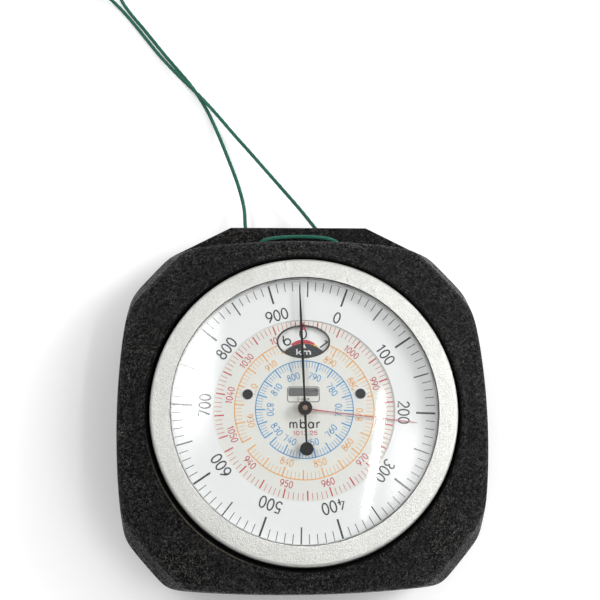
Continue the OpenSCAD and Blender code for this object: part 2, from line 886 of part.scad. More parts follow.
module cord_coil() {
    color([0.1, 0.4, 0.31]) tube(coil_path, cord_r, 6, upward);
}

front_shell();
back_shell();
case_gasket();
shell_screws();
bezel();
bezel_spring();
crystal();
crystal_spacer();
altitude_ring();
scale_retainer();
pressure_dial();
dial_posts();
dial_screws();
centre_tube();
marker_hand();
altitude_hand();
hand_boss();
hand_arbor();
km_disc();
km_wheel();
km_arbor();
front_plate();
back_plate();
plate_pillars();
plate_screws();
jewel_bearings();
mounting_screws();
shock_washers();
train_wheel();
train_arbor();
hairspring();
hairspring_stud();
sector_gear();
sector_arbor();
rocking_shaft();
bimetal_strip();
rocker_brackets();
capsule_stem();
capsule_stack();
capsule_post();
zero_screw();
cord_arc();
cord_left();
cord_coil();
cord_right();
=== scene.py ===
"""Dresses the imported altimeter: case, bezel, crystal, dials, hands, movement and cord."""
import math

import bmesh
import bpy
import numpy as np
from mathutils import Matrix, Vector


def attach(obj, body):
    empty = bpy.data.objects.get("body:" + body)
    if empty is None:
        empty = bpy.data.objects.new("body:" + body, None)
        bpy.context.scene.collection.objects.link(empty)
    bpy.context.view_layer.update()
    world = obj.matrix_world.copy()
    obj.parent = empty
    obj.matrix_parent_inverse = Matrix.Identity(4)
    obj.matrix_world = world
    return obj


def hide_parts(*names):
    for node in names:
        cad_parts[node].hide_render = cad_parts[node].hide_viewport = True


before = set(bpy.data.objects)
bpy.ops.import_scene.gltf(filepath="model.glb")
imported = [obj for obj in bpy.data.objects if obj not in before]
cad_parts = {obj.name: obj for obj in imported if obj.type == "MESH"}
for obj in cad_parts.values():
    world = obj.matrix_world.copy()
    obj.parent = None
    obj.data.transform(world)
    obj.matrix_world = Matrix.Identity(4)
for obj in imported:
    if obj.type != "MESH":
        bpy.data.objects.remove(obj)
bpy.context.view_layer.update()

MM = 0.001
TAU = 2 * math.pi

# Heights above the back of the case, in millimetres
PART_Z = 20.0
GASKET = 0.6
RIM_Z = 30.0
SEAT_Z = 31.0
COLLAR_Z = 33.4
OPENING_TOP = 28.5
DIAL_TOP = 31.3
RING_TOP = 31.8
DISC_TOP = 30.1
BEZEL_TOP = 35.9
FLANGE_TOP = 34.8
CRYSTAL_Z = 34.0
CRYSTAL_TOP = 41.0
CRYSTAL_T = 0.9

# Radii round the axis of the hands, in millimetres
BEZEL_R = 47.7
SIGHT_R = 41.2
BORE_R = 41.9
SKIRT_R = 42.92
OPENING_R = 43.0
RECESS_R = 48.5
SEAM_R = 49.0
LIP_R = 49.4
COLLAR_R = 51.2

# Outline of the case, in millimetres
CASE_W = 117.0
CASE_H = 111.4
CORNER_REACH = 67.8
CORNER_DIR = 42.0
SIDE_BOW = 270.0
END_BOW = 420.0
WALL = 3.4
FLOOR_T = 2.2



def put_in(name, data):
    """An object of a mesh, lamp or camera, in the scene."""
    made = bpy.data.objects.new(name, data)
    bpy.context.scene.collection.objects.link(made)
    return made


# Camera of the photograph

IMAGE_SIZE = 600
FOCAL_PX = 1000.0
LEAN_RIGHT = 0.06
LEAN_UP = 0.25
AXIS_PX = (304.8, 408.5)
MM_PER_PX = 0.309
AXIS_HEIGHT = 32.6


def make_camera():
    """The camera by the photograph: the depth grows by LEAN_RIGHT and LEAN_UP along X and Y,
    and the hand axis shows at AXIS_PX with MM_PER_PX millimetres to a pixel."""
    ex = np.array([math.sqrt(1 - LEAN_RIGHT ** 2), 0, LEAN_RIGHT])
    tilt = -LEAN_UP * LEAN_RIGHT / ex[0]
    ey = np.array([tilt, math.sqrt(1 - tilt ** 2 - LEAN_UP ** 2), LEAN_UP])
    ez = np.cross(ex, ey)
    ez = -ez if ez[2] > 0 else ez
    depth = MM_PER_PX * FOCAL_PX
    half = IMAGE_SIZE / 2
    axis = np.array([(AXIS_PX[0] - half) * MM_PER_PX, (half - AXIS_PX[1]) * MM_PER_PX, depth])
    place = np.array([-axis @ ex, -axis @ ey, -axis @ ez + AXIS_HEIGHT]) * MM
    turn = np.array([ex, ey, ez])
    data = bpy.data.cameras.new("camera")
    data.sensor_width = 36
    data.lens = 36 * FOCAL_PX / IMAGE_SIZE
    data.clip_start = 0.01
    camera = put_in("camera", data)
    right, up, forward = turn[:, 0], turn[:, 1], turn[:, 2]
    camera.matrix_world = Matrix([
        [right[0], up[0], -forward[0], place[0]],
        [right[1], up[1], -forward[1], place[1]],
        [right[2], up[2], -forward[2], place[2]],
        [0, 0, 0, 1]])
    bpy.context.scene.camera = camera


# Shader building: arithmetic on sockets, and one method for every other node


class Wire:
    """An output socket whose arithmetic adds Math nodes."""

    def __init__(self, shader, socket):
        self.shader = shader
        self.socket = socket

    def math(self, operation, *terms):
        """The output of a Math node on numbers or sockets."""
        values = {i: t for i, t in enumerate(terms)}
        return self.shader.add("ShaderNodeMath", {"operation": operation}, values)

    def __add__(self, other):
        return self.math("ADD", self, other)

    __radd__ = __add__

    def __sub__(self, other):
        return self.math("SUBTRACT", self, other)

    def __rsub__(self, other):
        return self.math("SUBTRACT", other, self)

    def __mul__(self, other):
        return self.math("MULTIPLY", self, other)

    __rmul__ = __mul__

    def above(self, edge, width):
        """0 below the edge, 1 above it, with a soft step as wide as given."""
        inputs = {"Value": self, "From Min": edge - width / 2, "From Max": edge + width / 2}
        return self.shader.add("ShaderNodeMapRange", {"interpolation_type": "SMOOTHSTEP"}, inputs)

    def absolute(self):
        return self.math("ABSOLUTE", self)

    def sine(self):
        return self.math("SINE", self)

    def power(self, exponent):
        return self.math("POWER", self, exponent)


class Shader:
    """The nodes of a material, or of a lamp or world handed in, under construction."""

    def __init__(self, name, owner=None):
        self.owner = owner or bpy.data.materials.new(name)
        self.owner.use_nodes = True
        self.tree = self.owner.node_tree
        self.tree.nodes.clear()

    def add(self, kind, settings=None, inputs=None, out=0):
        """Adds a node: its settings are set first, then the values or links of its sockets."""
        node = self.tree.nodes.new(kind)
        for key, value in (settings or {}).items():
            setattr(node, key, value)
        for key, value in (inputs or {}).items():
            socket = node.inputs[key]
            if isinstance(value, Wire):
                self.tree.links.new(value.socket, socket)
            else:
                socket.default_value = (*value, 1) if socket.type == "RGBA" else value
        return Wire(self, node.outputs[out])

    def place(self, scale=(1, 1, 1)):
        """Object coordinates, scaled."""
        coords = self.add("ShaderNodeTexCoord", out="Object")
        return self.add("ShaderNodeMapping", {}, {"Vector": coords, "Scale": scale})

    def noise(self, vector, scale, detail=2.0, rough=0.5, warp=0.0):
        return self.add("ShaderNodeTexNoise", {}, {
            "Vector": vector, "Scale": scale, "Detail": detail, "Roughness": rough,
            "Distortion": warp}, out="Fac")

    def mix(self, factor, first, second):
        """A colour between two colours."""
        inputs = {0: factor, 6: first, 7: second}
        return self.add("ShaderNodeMix", {"data_type": "RGBA"}, inputs, out=2)

    def bump(self, height, distance):
        """Normals from a height of 0 to 1 that stands for a distance in metres."""
        return self.add("ShaderNodeBump", {}, {"Height": height, "Distance": distance})

    def surface(self, inputs):
        return self.add("ShaderNodeBsdfPrincipled", {}, inputs)

    def paint(self, inputs):
        """The finished material of one plain surface."""
        return self.finish(self.surface(inputs))

    def blend(self, cover, under, over):
        """One surface under another, by the share that the upper one covers."""
        return self.add("ShaderNodeMixShader", {}, {0: cover, 1: under, 2: over})

    def finish(self, surface, kind="Material"):
        """Links the surface to the output, and gives the material, lamp or world back."""
        node = self.tree.nodes.new("ShaderNodeOutput" + kind)
        self.tree.links.new(surface.socket, node.inputs["Surface"])
        return self.owner


def grey(level):
    return (level, level, level)


def shaded(colour, share):
    """A colour at a share of its brightness."""
    return tuple(c * share for c in colour)


def radius_wire(shader, centre=(0, 0)):
    """Distance in plan from the axis of the hands, or from another point, in metres."""
    coords = shader.add("ShaderNodeTexCoord", out="Object")
    flat = shader.add("ShaderNodeVectorMath", {"operation": "MULTIPLY_ADD"},
                      {0: coords, 1: (1, 1, 0), 2: (-centre[0], -centre[1], 0)})
    return shader.add("ShaderNodeVectorMath", {"operation": "LENGTH"}, {0: flat}, out="Value")


def ray_of(shader, *kinds):
    """1 for a light ray of any of the kinds named, and 0 for the rest."""
    found = 0
    for kind in kinds:
        ray = shader.add("ShaderNodeLightPath", out="Is " + kind + " Ray")
        found = ray.math("MAXIMUM", ray, found)
    return found


# Materials


def crinkle_paint(name):
    """Black crinkle enamel: a net of small rounded wrinkles with dull furrows and wet
    beads on its crowns, with painted shade that darkens the furrows, flecked with dust and with
    light specks that stand in for painted glints, and grazed brown in places. It has painted
    shadow, near black, inside the collar's seam, and a painted highlight, a brownish band, on
    the lip at the seam's lower left."""
    s = Shader(name)
    place = s.place()
    net = s.noise(place, 1050, 0.4, warp=1.0)
    grit = s.noise(place, 2300, rough=0.7, warp=0.6)
    crown = (1 - (net - 0.5).absolute() * 8).above(0.4, 0.4)
    height = crown + grit * 0.8
    cloud = s.noise(place, 42, 4.0, 0.6)
    # The specks are partly dust and partly painted glints: their light grey colour stands in for
    # sparkle.
    speck = grit.above(0.57, 0.1) * crown * (0.45 + cloud.above(0.52, 0.2) * 0.55)
    # Painted shade: the furrows between the wrinkles are much darker than their crowns.
    black = s.mix(crown, (0.0025, 0.0025, 0.003), (0.023, 0.022, 0.02))
    dust_and_glint_flecked = s.mix(speck, black, (0.165, 0.165, 0.16))
    worn = cloud.above(0.6, 0.1) * speck
    grazed = s.mix(worn * 0.4, dust_and_glint_flecked, (0.17, 0.14, 0.1))
    radius = radius_wire(s)
    outside = radius.above(SEAM_R * MM, 0.0003)
    # Painted highlight: a brownish band on the lip just outside the seam, at the lower left only.
    highlight_lower_left = 1 - radius_wire(s, (-0.1, -0.1)).above(0.1, 0.02)
    lip = outside * (1 - radius.above(LIP_R * MM, 0.0003)) * highlight_lower_left
    # Painted shadow: inside the seam radius, the recess under the bezel is painted near black.
    shadow_seamed = s.mix(outside, grey(0.0015), grazed)
    lip_highlight = lip * (cloud + grit * 0.5).above(0.7, 0.3) * 0.8
    colour = s.mix(lip_highlight, shadow_seamed, (0.16, 0.145, 0.11))
    rough = 0.56 - crown * 0.3 + (cloud - 0.5) * 0.15
    paint = s.surface({
        "Base Color": colour, "Roughness": rough, "Metallic": speck * outside * 0.6,
        "Normal": s.bump(height, 0.0005), "Specular IOR Level": 0.08})
    bead = s.surface({
        "Base Color": grey(0.004), "Roughness": 0.16,
        "Normal": s.bump(height, 0.0008), "Specular IOR Level": 0.5})
    wet = crown.above(0.72, 0.2) * outside * 0.45
    return s.finish(s.blend(wet, paint, bead))


def blasted_metal(name, colour, rough, depth, shadow_inside):
    """Bead-blasted bright metal: a fine sparkling grain over a faint cloud of tone, with
    painted shadow, a near black seam, inside the radius given."""
    s = Shader(name)
    place = s.place()
    grain = s.noise(place, 3000, 3.0, 0.7)
    coarse = s.noise(place, 1500, 2.0, 0.6)
    cloud = s.noise(place, 70, 3.0)
    bright = s.mix(cloud * 0.4 + grain.above(0.5, 0.22) * 0.6, shaded(colour, 0.66), colour)
    # Painted shadow: the metal inside the given radius, at the sight edge, is near black.
    tone = s.mix(radius_wire(s).above(shadow_inside * MM, 0.00006), grey(0.03), bright)
    return s.paint({
        "Base Color": tone, "Metallic": 1.0,
        "Roughness": rough + (cloud - 0.5) * 0.1 + (grain - 0.5) * 0.2,
        "Normal": s.bump(grain + coarse * 0.6, depth)})


def satin_metal(name, colour, rough, line_scale=9000, line_depth=0.000004):
    """Turned metal: fine rings round the axis, with a faint mottle of tone and gloss."""
    s = Shader(name)
    radius = radius_wire(s)
    lines = s.add("ShaderNodeTexNoise", {"noise_dimensions": "1D"}, {
        "W": radius, "Scale": line_scale, "Detail": 3.0}, out="Fac")
    place = s.place()
    cloud = s.noise(place, 60, 3.0)
    grain = s.noise(place, 2600, 2.0)
    tone = s.mix(cloud * 0.6 + lines * 0.4, shaded(colour, 0.88), colour)
    roughness = rough + (cloud - 0.5) * 0.12 + (grain - 0.5) * 0.1
    return s.paint({
        "Base Color": tone, "Metallic": 1.0, "Roughness": roughness,
        "Normal": s.bump(lines * 0.6 + grain * 0.5, line_depth)})


def worked_metal(name, colour, rough, scale=900, depth=0.00001):
    """Machined or rolled metal with a fine grain and slight tarnish."""
    s = Shader(name)
    place = s.place((1, 1, 6))
    grain = s.noise(place, scale, 3.0, 0.6)
    stain = s.noise(s.place(), 120, 3.0)
    tone = s.mix(stain * 0.7 + grain * 0.3, shaded(colour, 0.72), colour)
    return s.paint({
        "Base Color": tone, "Metallic": 1.0, "Roughness": rough + (stain - 0.5) * 0.2,
        "Normal": s.bump(grain, depth)})


def printed_face(name, colour, rough=0.5):
    """A lacquered dial face: even colour with a faint cloud, specks and orange peel."""
    s = Shader(name)
    place = s.place()
    cloud = s.noise(place, 55, 3.0)
    dots = s.noise(place, 4200, 1.0)
    tone = s.mix(cloud * 0.6 + dots.above(0.62, 0.1) * 0.4, colour, shaded(colour, 0.94))
    return s.paint({
        "Base Color": tone, "Roughness": rough + (cloud - 0.5) * 0.1,
        "Normal": s.bump(dots, 0.000006), "Specular IOR Level": 0.4})


def ink(name, colour, rough=0.45):
    """Printed ink with slightly uneven cover."""
    s = Shader(name)
    cover = s.noise(s.place(), 3000, 2.0)
    thin = tuple(c + (0.9 - c) * 0.12 for c in colour)
    tone = s.mix(cover.above(0.62, 0.2), colour, thin)
    return s.paint({"Base Color": tone, "Roughness": rough + (cover - 0.5) * 0.1})


def clear_crystal():
    """Clear domed crystal: each surface throws back 4 percent face on and all of it at a
    slant, by one less the cosine to the power 5, and lets shadow rays through."""
    s = Shader("crystal_clear")
    smear = s.noise(s.place(), 140, 3.0, 0.6)
    gloss = s.surface({"Base Color": grey(1.0), "Metallic": 1.0, "Roughness": 0.045 + smear * 0.05})
    clear = s.add("ShaderNodeBsdfTransparent", {}, {"Color": (0.985, 0.99, 0.99)})
    slant = s.add("ShaderNodeLayerWeight", {}, {"Blend": 0.5}, out="Facing")
    cover = (0.04 + slant.power(5.0) * 0.9) * (1 - ray_of(s, "Shadow"))
    return s.finish(s.blend(cover, clear, gloss))


def rubber(name, level):
    """Soft dull rubber with a fine pebble."""
    s = Shader(name)
    pebble = s.noise(s.place(), 2200, 2.0)
    tone = s.mix(pebble, grey(level * 0.7), grey(level * 1.3))
    return s.paint({
        "Base Color": tone, "Roughness": 0.75 + pebble * 0.1,
        "Normal": s.bump(pebble, 0.00002)})


def ruby():
    """Polished red bearing stone."""
    s = Shader("jewel_ruby")
    cloud = s.noise(s.place(), 1500, 2.0)
    tone = s.mix(cloud, (0.35, 0.01, 0.04), (0.6, 0.03, 0.1))
    return s.paint({"Base Color": tone, "Roughness": 0.08 + cloud * 0.05,
                               "Coat Weight": 0.6})


def braid(name):
    """Braided cord: two families of slanting strands crossing round the tube, with loose fibre,
    and painted shade that darkens the grooves between the strands.
    """
    s = Shader(name)
    uv = s.add("ShaderNodeUVMap", {"uv_map": "along"})
    around = s.add("ShaderNodeSeparateXYZ", {}, {0: uv}, out="X")
    along = s.add("ShaderNodeSeparateXYZ", {}, {0: uv}, out="Y")
    left = ((around * 4 + along) * TAU).sine()
    right = ((around * 4 - along) * TAU).sine()
    height = left.math("MAXIMUM", left, right) * 0.5 + 0.5
    fibre = s.noise(s.place(), 7000, 2.0)
    wear = s.noise(s.place(), 110, 2.0)
    # Painted shade: the colour follows the strands' height, darker in the grooves.
    tone = s.mix(height * 0.7 + fibre * 0.3, (0.003, 0.042, 0.029), (0.01, 0.145, 0.095))
    faded = s.mix(wear.above(0.55, 0.3) * 0.25, tone, (0.03, 0.24, 0.17))
    return s.paint({
        "Base Color": faded, "Roughness": 0.6 + fibre * 0.2,
        "Normal": s.bump(height + fibre * 0.5, 0.00006),
        "Specular IOR Level": 0.35, "Sheen Weight": 0.15, "Sheen Roughness": 0.5})


MAT = {
    "case": crinkle_paint("crinkle_black"),
    "gasket": rubber("gasket_black", 0.02),
    "bezel": blasted_metal("bezel_satin", (0.74, 0.74, 0.71), 0.35, 0.00018, SIGHT_R + 0.12),
    "crystal": clear_crystal(),
    "spacer": printed_face("spacer_grey", (0.8, 0.8, 0.79)),
    "halo": printed_face("halo_white", (0.84, 0.84, 0.82)),
    "scale": printed_face("scale_white", grey(0.86), 0.42),
    "dial": printed_face("dial_cream", (0.78, 0.775, 0.725)),
    "disc": printed_face("disc_white", (0.88, 0.88, 0.87)),
    "ink_black": ink("ink_black", (0.02, 0.02, 0.022)),
    "ink_red": ink("ink_red", (0.55, 0.03, 0.05)),
    "ink_orange": ink("ink_orange", (0.84, 0.4, 0.09)),
    "ink_yellow": ink("ink_yellow", (0.85, 0.5, 0.06)),
    "ink_blue": ink("ink_blue", (0.06, 0.3, 0.6)),
    "ink_white": ink("ink_white", grey(0.85)),
    "ink_grey": ink("ink_grey", grey(0.13)),
    "hand_black": satin_metal("hand_black", grey(0.012), 0.45),
    "hand_red": ink("hand_red", (0.5, 0.09, 0.13), 0.35),
    "boss": worked_metal("boss_dark", (0.03, 0.027, 0.025), 0.3),
    "copper": worked_metal("arbor_copper", (0.5, 0.32, 0.23), 0.3),
    "screw_black": worked_metal("screw_black", (0.05, 0.05, 0.055), 0.35),
    "steel": worked_metal("arbor_steel", grey(0.6), 0.25),
    "blued": worked_metal("steel_blued", (0.07, 0.1, 0.28), 0.25),
    "brass": worked_metal("brass_plain", (0.72, 0.55, 0.25), 0.32),
    "alloy": worked_metal("capsule_alloy", (0.78, 0.68, 0.45), 0.28),
    "bimetal": worked_metal("bimetal", (0.72, 0.5, 0.3), 0.35),
    "ruby": ruby(),
    "cord": braid("cord_green"),
}

NODE_FINISH = {
    "case": ["front_shell", "back_shell"],
    "gasket": ["case_gasket", "shock_washers"],
    "screw_black": ["shell_screws", "dial_screws"],
    "bezel": ["bezel"],
    "steel": ["bezel_spring", "km_arbor", "train_arbor", "sector_arbor", "rocking_shaft",
              "capsule_stem", "mounting_screws"],
    "crystal": ["crystal"],
    "spacer": ["crystal_spacer"],
    "scale": ["altitude_ring"],
    "dial": ["pressure_dial"],
    "disc": ["km_disc"],
    "brass": ["scale_retainer", "dial_posts", "centre_tube", "km_wheel", "front_plate",
              "back_plate", "plate_pillars", "train_wheel", "hairspring_stud", "sector_gear",
              "rocker_brackets", "capsule_post", "zero_screw"],
    "hand_red": ["marker_hand"],
    "hand_black": ["altitude_hand"],
    "boss": ["hand_boss"],
    "copper": ["hand_arbor"],
    "blued": ["plate_screws", "hairspring"],
    "ruby": ["jewel_bearings"],
    "alloy": ["capsule_stack"],
    "bimetal": ["bimetal_strip"],
    "cord": ["cord_arc", "cord_left", "cord_coil", "cord_right"],
}

for finish, names in NODE_FINISH.items():
    for node_name in names:
        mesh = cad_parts[node_name].data
        mesh.materials.clear()
        mesh.materials.append(MAT[finish])


# Meshes from arrays


def clean(mesh, slivers=False):
    """Merges the doubled points of a closed skin and turns its faces outwards. Its slivers
    come out too where that is asked for."""
    skin = bmesh.new()
    skin.from_mesh(mesh)
    bmesh.ops.remove_doubles(skin, verts=skin.verts, dist=1e-8)
    if slivers:
        bmesh.ops.dissolve_degenerate(skin, edges=skin.edges, dist=1e-9)
    if skin.calc_volume(signed=True) < 0:
        bmesh.ops.reverse_faces(skin, faces=skin.faces)
    skin.to_mesh(mesh)
    skin.free()


def add_piece(name, points, faces, material, body, crease=35.0, uvs=None):
    """An object at the origin from points in metres and faces, which rides on a body. A face
    on the seam of the pattern's coordinates reads 1 round the tube where its edge says 0."""
    mesh = bpy.data.meshes.new(name)
    mesh.from_pydata(points.reshape(-1, 3).tolist(), [], faces.tolist())
    if uvs is not None:
        layer = mesh.uv_layers.new(name="along")
        loops = np.zeros(len(mesh.loops), np.int32)
        mesh.loops.foreach_get("vertex_index", loops)
        flat = uvs[loops].reshape(-1, 4, 2)
        over = (flat[..., 0].max(1) - flat[..., 0].min(1)) > 0.5
        flat[..., 0] += (flat[..., 0] < 0.5) & over[:, None]
        layer.data.foreach_set("uv", flat.ravel())
    clean(mesh)
    return finish_piece(name, mesh, material, body, crease)


def finish_piece(name, mesh, material, body, crease):
    """An object of a finished mesh, shaded smooth but for the edges sharper than the crease."""
    mesh.materials.clear()
    mesh.materials.append(material)
    mesh.polygons.foreach_set("use_smooth", np.ones(len(mesh.polygons), bool))
    mesh.set_sharp_from_angle(angle=math.radians(crease))
    piece = put_in(name, mesh)
    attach(piece, body)
    return piece


def grid_faces(rows, columns, wrap_rows=False, wrap_columns=False):
    """Four-sided faces over a grid of points, whose rows or columns may close on themselves."""
    index = np.arange(rows * columns).reshape(rows, columns)
    if wrap_rows:
        index = np.vstack([index, index[:1]])
    if wrap_columns:
        index = np.hstack([index, index[:, :1]])
    corners = [index[:-1, :-1], index[:-1, 1:], index[1:, 1:], index[1:, :-1]]
    return np.stack(corners, -1).reshape(-1, 4)


def gather(grids, closed=True):
    """One list of points and one of faces from grids whose columns close on themselves, and
    whose rows do so too where they are closed."""
    points, faces, count = [], [], 0
    for grid in grids:
        points.append(grid.reshape(-1, 3))
        faces.append(grid_faces(*grid.shape[:2], closed, True) + count)
        count += len(points[-1])
    return np.vstack(points), np.vstack(faces)


def lathe(profile, steps=240):
    """Points of a closed profile of (radius, height) turned about the axis of the hands."""
    profile = np.asarray(profile, float)
    turn = np.linspace(0, TAU, steps, endpoint=False)
    r, z = profile[:, 0], profile[:, 1]
    ones = np.ones_like(turn)
    return np.stack([np.outer(r, np.cos(turn)), np.outer(r, np.sin(turn)), np.outer(z, ones)], -1)


def between(table, parts):
    """The table's rows with smooth rows between them, by a cubic through four rows."""
    table = np.asarray(table, float)
    ends = np.vstack([table[:1], table, table[-1:]])
    out = []
    for k in range(len(table) - 1):
        a, b, c, d = ends[k:k + 4]
        for t in np.arange(parts) / parts:
            out.append(0.5 * (2 * b + (c - a) * t + (2 * a - 5 * b + 4 * c - d) * t * t
                              + (3 * b - a - 3 * c + d) * t ** 3))
    return np.vstack([out, table[-1:]])


def rounded(profile, size, steps=4):
    """A closed profile with each corner rounded by a quadratic curve that starts and ends
    the given size from it, or a third of the way along a short side."""
    profile = np.asarray(profile, float)
    out = []
    for k, corner in enumerate(profile):
        before = profile[k - 1] - corner
        after = profile[(k + 1) % len(profile)] - corner
        a = corner + before * min(1 / 3, size / max(1e-9, np.hypot(*before)))
        b = corner + after * min(1 / 3, size / max(1e-9, np.hypot(*after)))
        t = np.linspace(0, 1, steps + 1)[:, None]
        out.append((1 - t) ** 2 * a + 2 * t * (1 - t) * corner + t ** 2 * b)
    return np.vstack(out)


# The neck cord: a limp braid on a smooth line through listed points

CORD_D = 1.3
CORD_Z = 0.7
BRAID_PITCH = 2.6
ARC_ROUTE = [
    (-16.5, 64, 6), (-14.9, 61.4, 6.1), (-13.8, 59.4, 7.2), (-13.4, 58.8, 9.5), (-13.4, 58.8, 14),
    (-12.9, 59.0, 16.4), (-10.6, 59.9, 16.9), (-6.4, 60.6, 16.8), (0, 60.9, 16.8),
    (6.4, 60.7, 16.8), (10.6, 60.0, 16.9), (12.9, 59.0, 16.4), (13.4, 58.8, 14), (13.4, 58.8, 9.5),
    (13.1, 59.5, 7.2), (11.6, 61.3, 6.1), (9.2, 64, 6)]
LEFT_ROUTE = [
    (-16.5, 64, 6), (-18, 67.4, 5.9), (-18.6, 75.4, 5.2), (-20.8, 84.6, 4.2), (-24.4, 95.2, 3),
    (-28.4, 106, 1.8), (-32.4, 115.2, 0.9), (-37.4, 123.6, CORD_Z), (-43, 130.8, CORD_Z),
    (-48, 137, CORD_Z), (-55.6, 147, CORD_Z), (-60.8, 153.6, CORD_Z), (-64.4, 159.2, CORD_Z),
    (-66.8, 166, CORD_Z), (-67.2, 172.4, CORD_Z), (-67.4, 175.8, CORD_Z)]
RIGHT_ROUTE = [
    (9.2, 64, 6), (6.2, 68, 5.8), (1.2, 74.8, 5.4), (-4.6, 82.2, 4.8), (-10.6, 89.8, 4.1),
    (-16.6, 97.4, 3.4), (-22.4, 104.6, 2.8), (-28.2, 112, 2.4), (-33.8, 118.6, 2.3),
    (-38.8, 123.8, 2.2), (-43.4, 128.8, 1.8), (-47.6, 133.8, 1.2), (-51.4, 138.6, 0.8),
    (-58.6, 148.2, CORD_Z), (-63.6, 154.4, CORD_Z), (-67, 157.8, 1.3), (-70.6, 160.6, 2.6),
    (-74.2, 162.8, 4.2), (-77.6, 164.6, 5.6), (-80.4, 166, 6.5)]
COIL_CENTRE = (-78, 176)
COIL_MID = 7.15
COIL_TURNS = 3.28
COIL_PITCH = 2.0
COIL_START = 17.5


def coil_line():
    """The coil: four layers spiralling in, out, in and out, with half a turn of climb between."""
    turns = 4 * COIL_TURNS + 1.5
    t = np.linspace(0, turns, int(turns * 36) + 1)
    layer = np.minimum(3, np.floor(t / (COIL_TURNS + 0.5)))
    part = t - layer * (COIL_TURNS + 0.5)
    run = np.minimum(1, part / COIL_TURNS)
    climb = np.maximum(0, part - COIL_TURNS) / 0.5
    reach = COIL_TURNS * COIL_PITCH / 2
    r = COIL_MID + reach * np.where(layer % 2 == 0, 1 - 2 * run, 2 * run - 1)
    a = np.radians(COIL_START) + TAU * t
    return np.stack([COIL_CENTRE[0] + r * np.cos(a), COIL_CENTRE[1] + r * np.sin(a),
                     CORD_Z + COIL_PITCH * (layer + climb)], -1)


def even_line(points, step):
    """Points at even distances along a line of straight pieces."""
    gone = np.concatenate([[0], np.cumsum(np.linalg.norm(np.diff(points, axis=0), axis=1))])
    at = np.linspace(0, gone[-1], int(gone[-1] / step) + 1)
    return np.stack([np.interp(at, gone, points[:, k]) for k in range(3)], -1), at


def braided_tube(points, up, sides=24, step=0.25):
    """A tube round a line whose radius swells where either of two families of slanting
    strands crosses over: radius times 0.92 + 0.08 max(sin(4a + w), sin(4a - w)), where a is
    the angle round the tube and w the distance along it in pitches."""
    path, gone = even_line(points, step)
    along = np.gradient(path, axis=0)
    along /= np.linalg.norm(along, axis=1)[:, None]
    across = np.cross(up, along)
    across /= np.linalg.norm(across, axis=1)[:, None]
    over = np.cross(along, across)
    turn = np.linspace(0, TAU, sides, endpoint=False)
    wave = (gone / BRAID_PITCH * TAU)[:, None]
    strand = np.maximum(np.sin(4 * turn + wave), np.sin(4 * turn - wave))
    r = (CORD_D / 2 * (0.92 + 0.08 * strand))[..., None]
    rings = path[:, None] + r * (np.cos(turn)[:, None] * across[:, None]
                                 + np.sin(turn)[:, None] * over[:, None])
    rings = np.concatenate([np.repeat(path[:1, None], sides, 1), rings,
                            np.repeat(path[-1:, None], sides, 1)])
    far = np.concatenate([gone[:1], gone, gone[-1:]]) / BRAID_PITCH
    uv = np.stack(np.broadcast_arrays(turn / TAU, far[:, None]), -1)
    return rings * MM, uv.reshape(-1, 2), path * MM


def make_cords():
    """The long loop, from one hole of the tab round the coil and back, and the arc between
    the two holes."""
    def tube(name, route, up):
        rings, uv, path = braided_tube(route, up)
        faces = grid_faces(*rings.shape[:2], wrap_columns=True)
        return add_piece(name, rings, faces, MAT["cord"], "case", 60, uv), path

    route = np.vstack([between(LEFT_ROUTE, 8)[:-1], coil_line(),
                       between(RIGHT_ROUTE, 8)[::-1][1:]])
    loop, path = tube("neck_cord", route, (0, 0, 1))
    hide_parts("cord_left", "cord_coil", "cord_right")
    bridge, _ = tube("neck_cord_arc", between(ARC_ROUTE, 8), (0, 1, 0))
    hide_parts("cord_arc")


make_camera()
make_cords()


# The case: rings of an outline made of four bows and four cut corners

OUTLINE_STEPS = 480
SCREW_PLACES = [(x * 41.5, y * 38.7) for x in (1, -1) for y in (1, -1)]
SCREW_POST_R = 3.6
SCREW_TAP_R = 1.25
SCREW_HOLE_R = 1.3
SCREW_HEAD_R = 2.5
SCREW_HEAD_Z = 2.3
ZERO_PLACE = (19.0, -11.5)
ZERO_KEY_R = 2.26
TAB_EDGE = [(39.0, 50.0), (42.0, 54.6), (24.0, 64.0), (23.0, 64.5)]
TAB_LOW = 9.0
TAB_HIGH = 16.0
HOLE_X = 13.4
HOLE_Y = 58.8
HOLE_R = 1.1
PAD_INSET = 7.5


def case_reach(turn, inset, crisp, trim):
    """Distance of the outline from the axis: a soft least of the bowed sides and cut corners."""
    def bow(angle, half, radius):
        off = radius - half
        return -off * np.cos(angle) + np.sqrt(radius ** 2 - (off * np.sin(angle)) ** 2)

    def cut(angle, reach):
        slant = np.cos(angle)
        return np.where(slant > 0.2, reach / np.maximum(slant, 0.2), 5 * reach)

    quarter = math.pi / 2
    corner = math.radians(CORNER_DIR)
    reaches = [bow(turn - k * math.pi, CASE_W / 2 - inset, SIDE_BOW) for k in (0, 1)]
    reaches += [bow(turn - quarter - k * math.pi, CASE_H / 2 - inset, END_BOW) for k in (0, 1)]
    reaches += [cut(turn - s, CORNER_REACH - inset - trim)
                for s in (corner, math.pi - corner, math.pi + corner, -corner)]
    total = sum((r / 60) ** -crisp for r in reaches)
    return total ** (-1 / crisp) * 60


def case_rings(table):
    """One ring a row of the table: height, inset, crispness, share of a circle, corner drop,
    corner trim, radius of the circle."""
    turn = np.linspace(0, TAU, OUTLINE_STEPS, endpoint=False)
    rings = []
    for z, inset, crisp, roundness, drop, trim, circle in table:
        free = case_reach(turn, inset, crisp, trim)
        reach = roundness * circle + (1 - roundness) * free
        corner = np.maximum(0, free - CASE_H / 2 + inset) / 12
        rings.append(np.stack([reach * np.cos(turn), reach * np.sin(turn), z - drop * corner], -1))
    return np.array(rings)


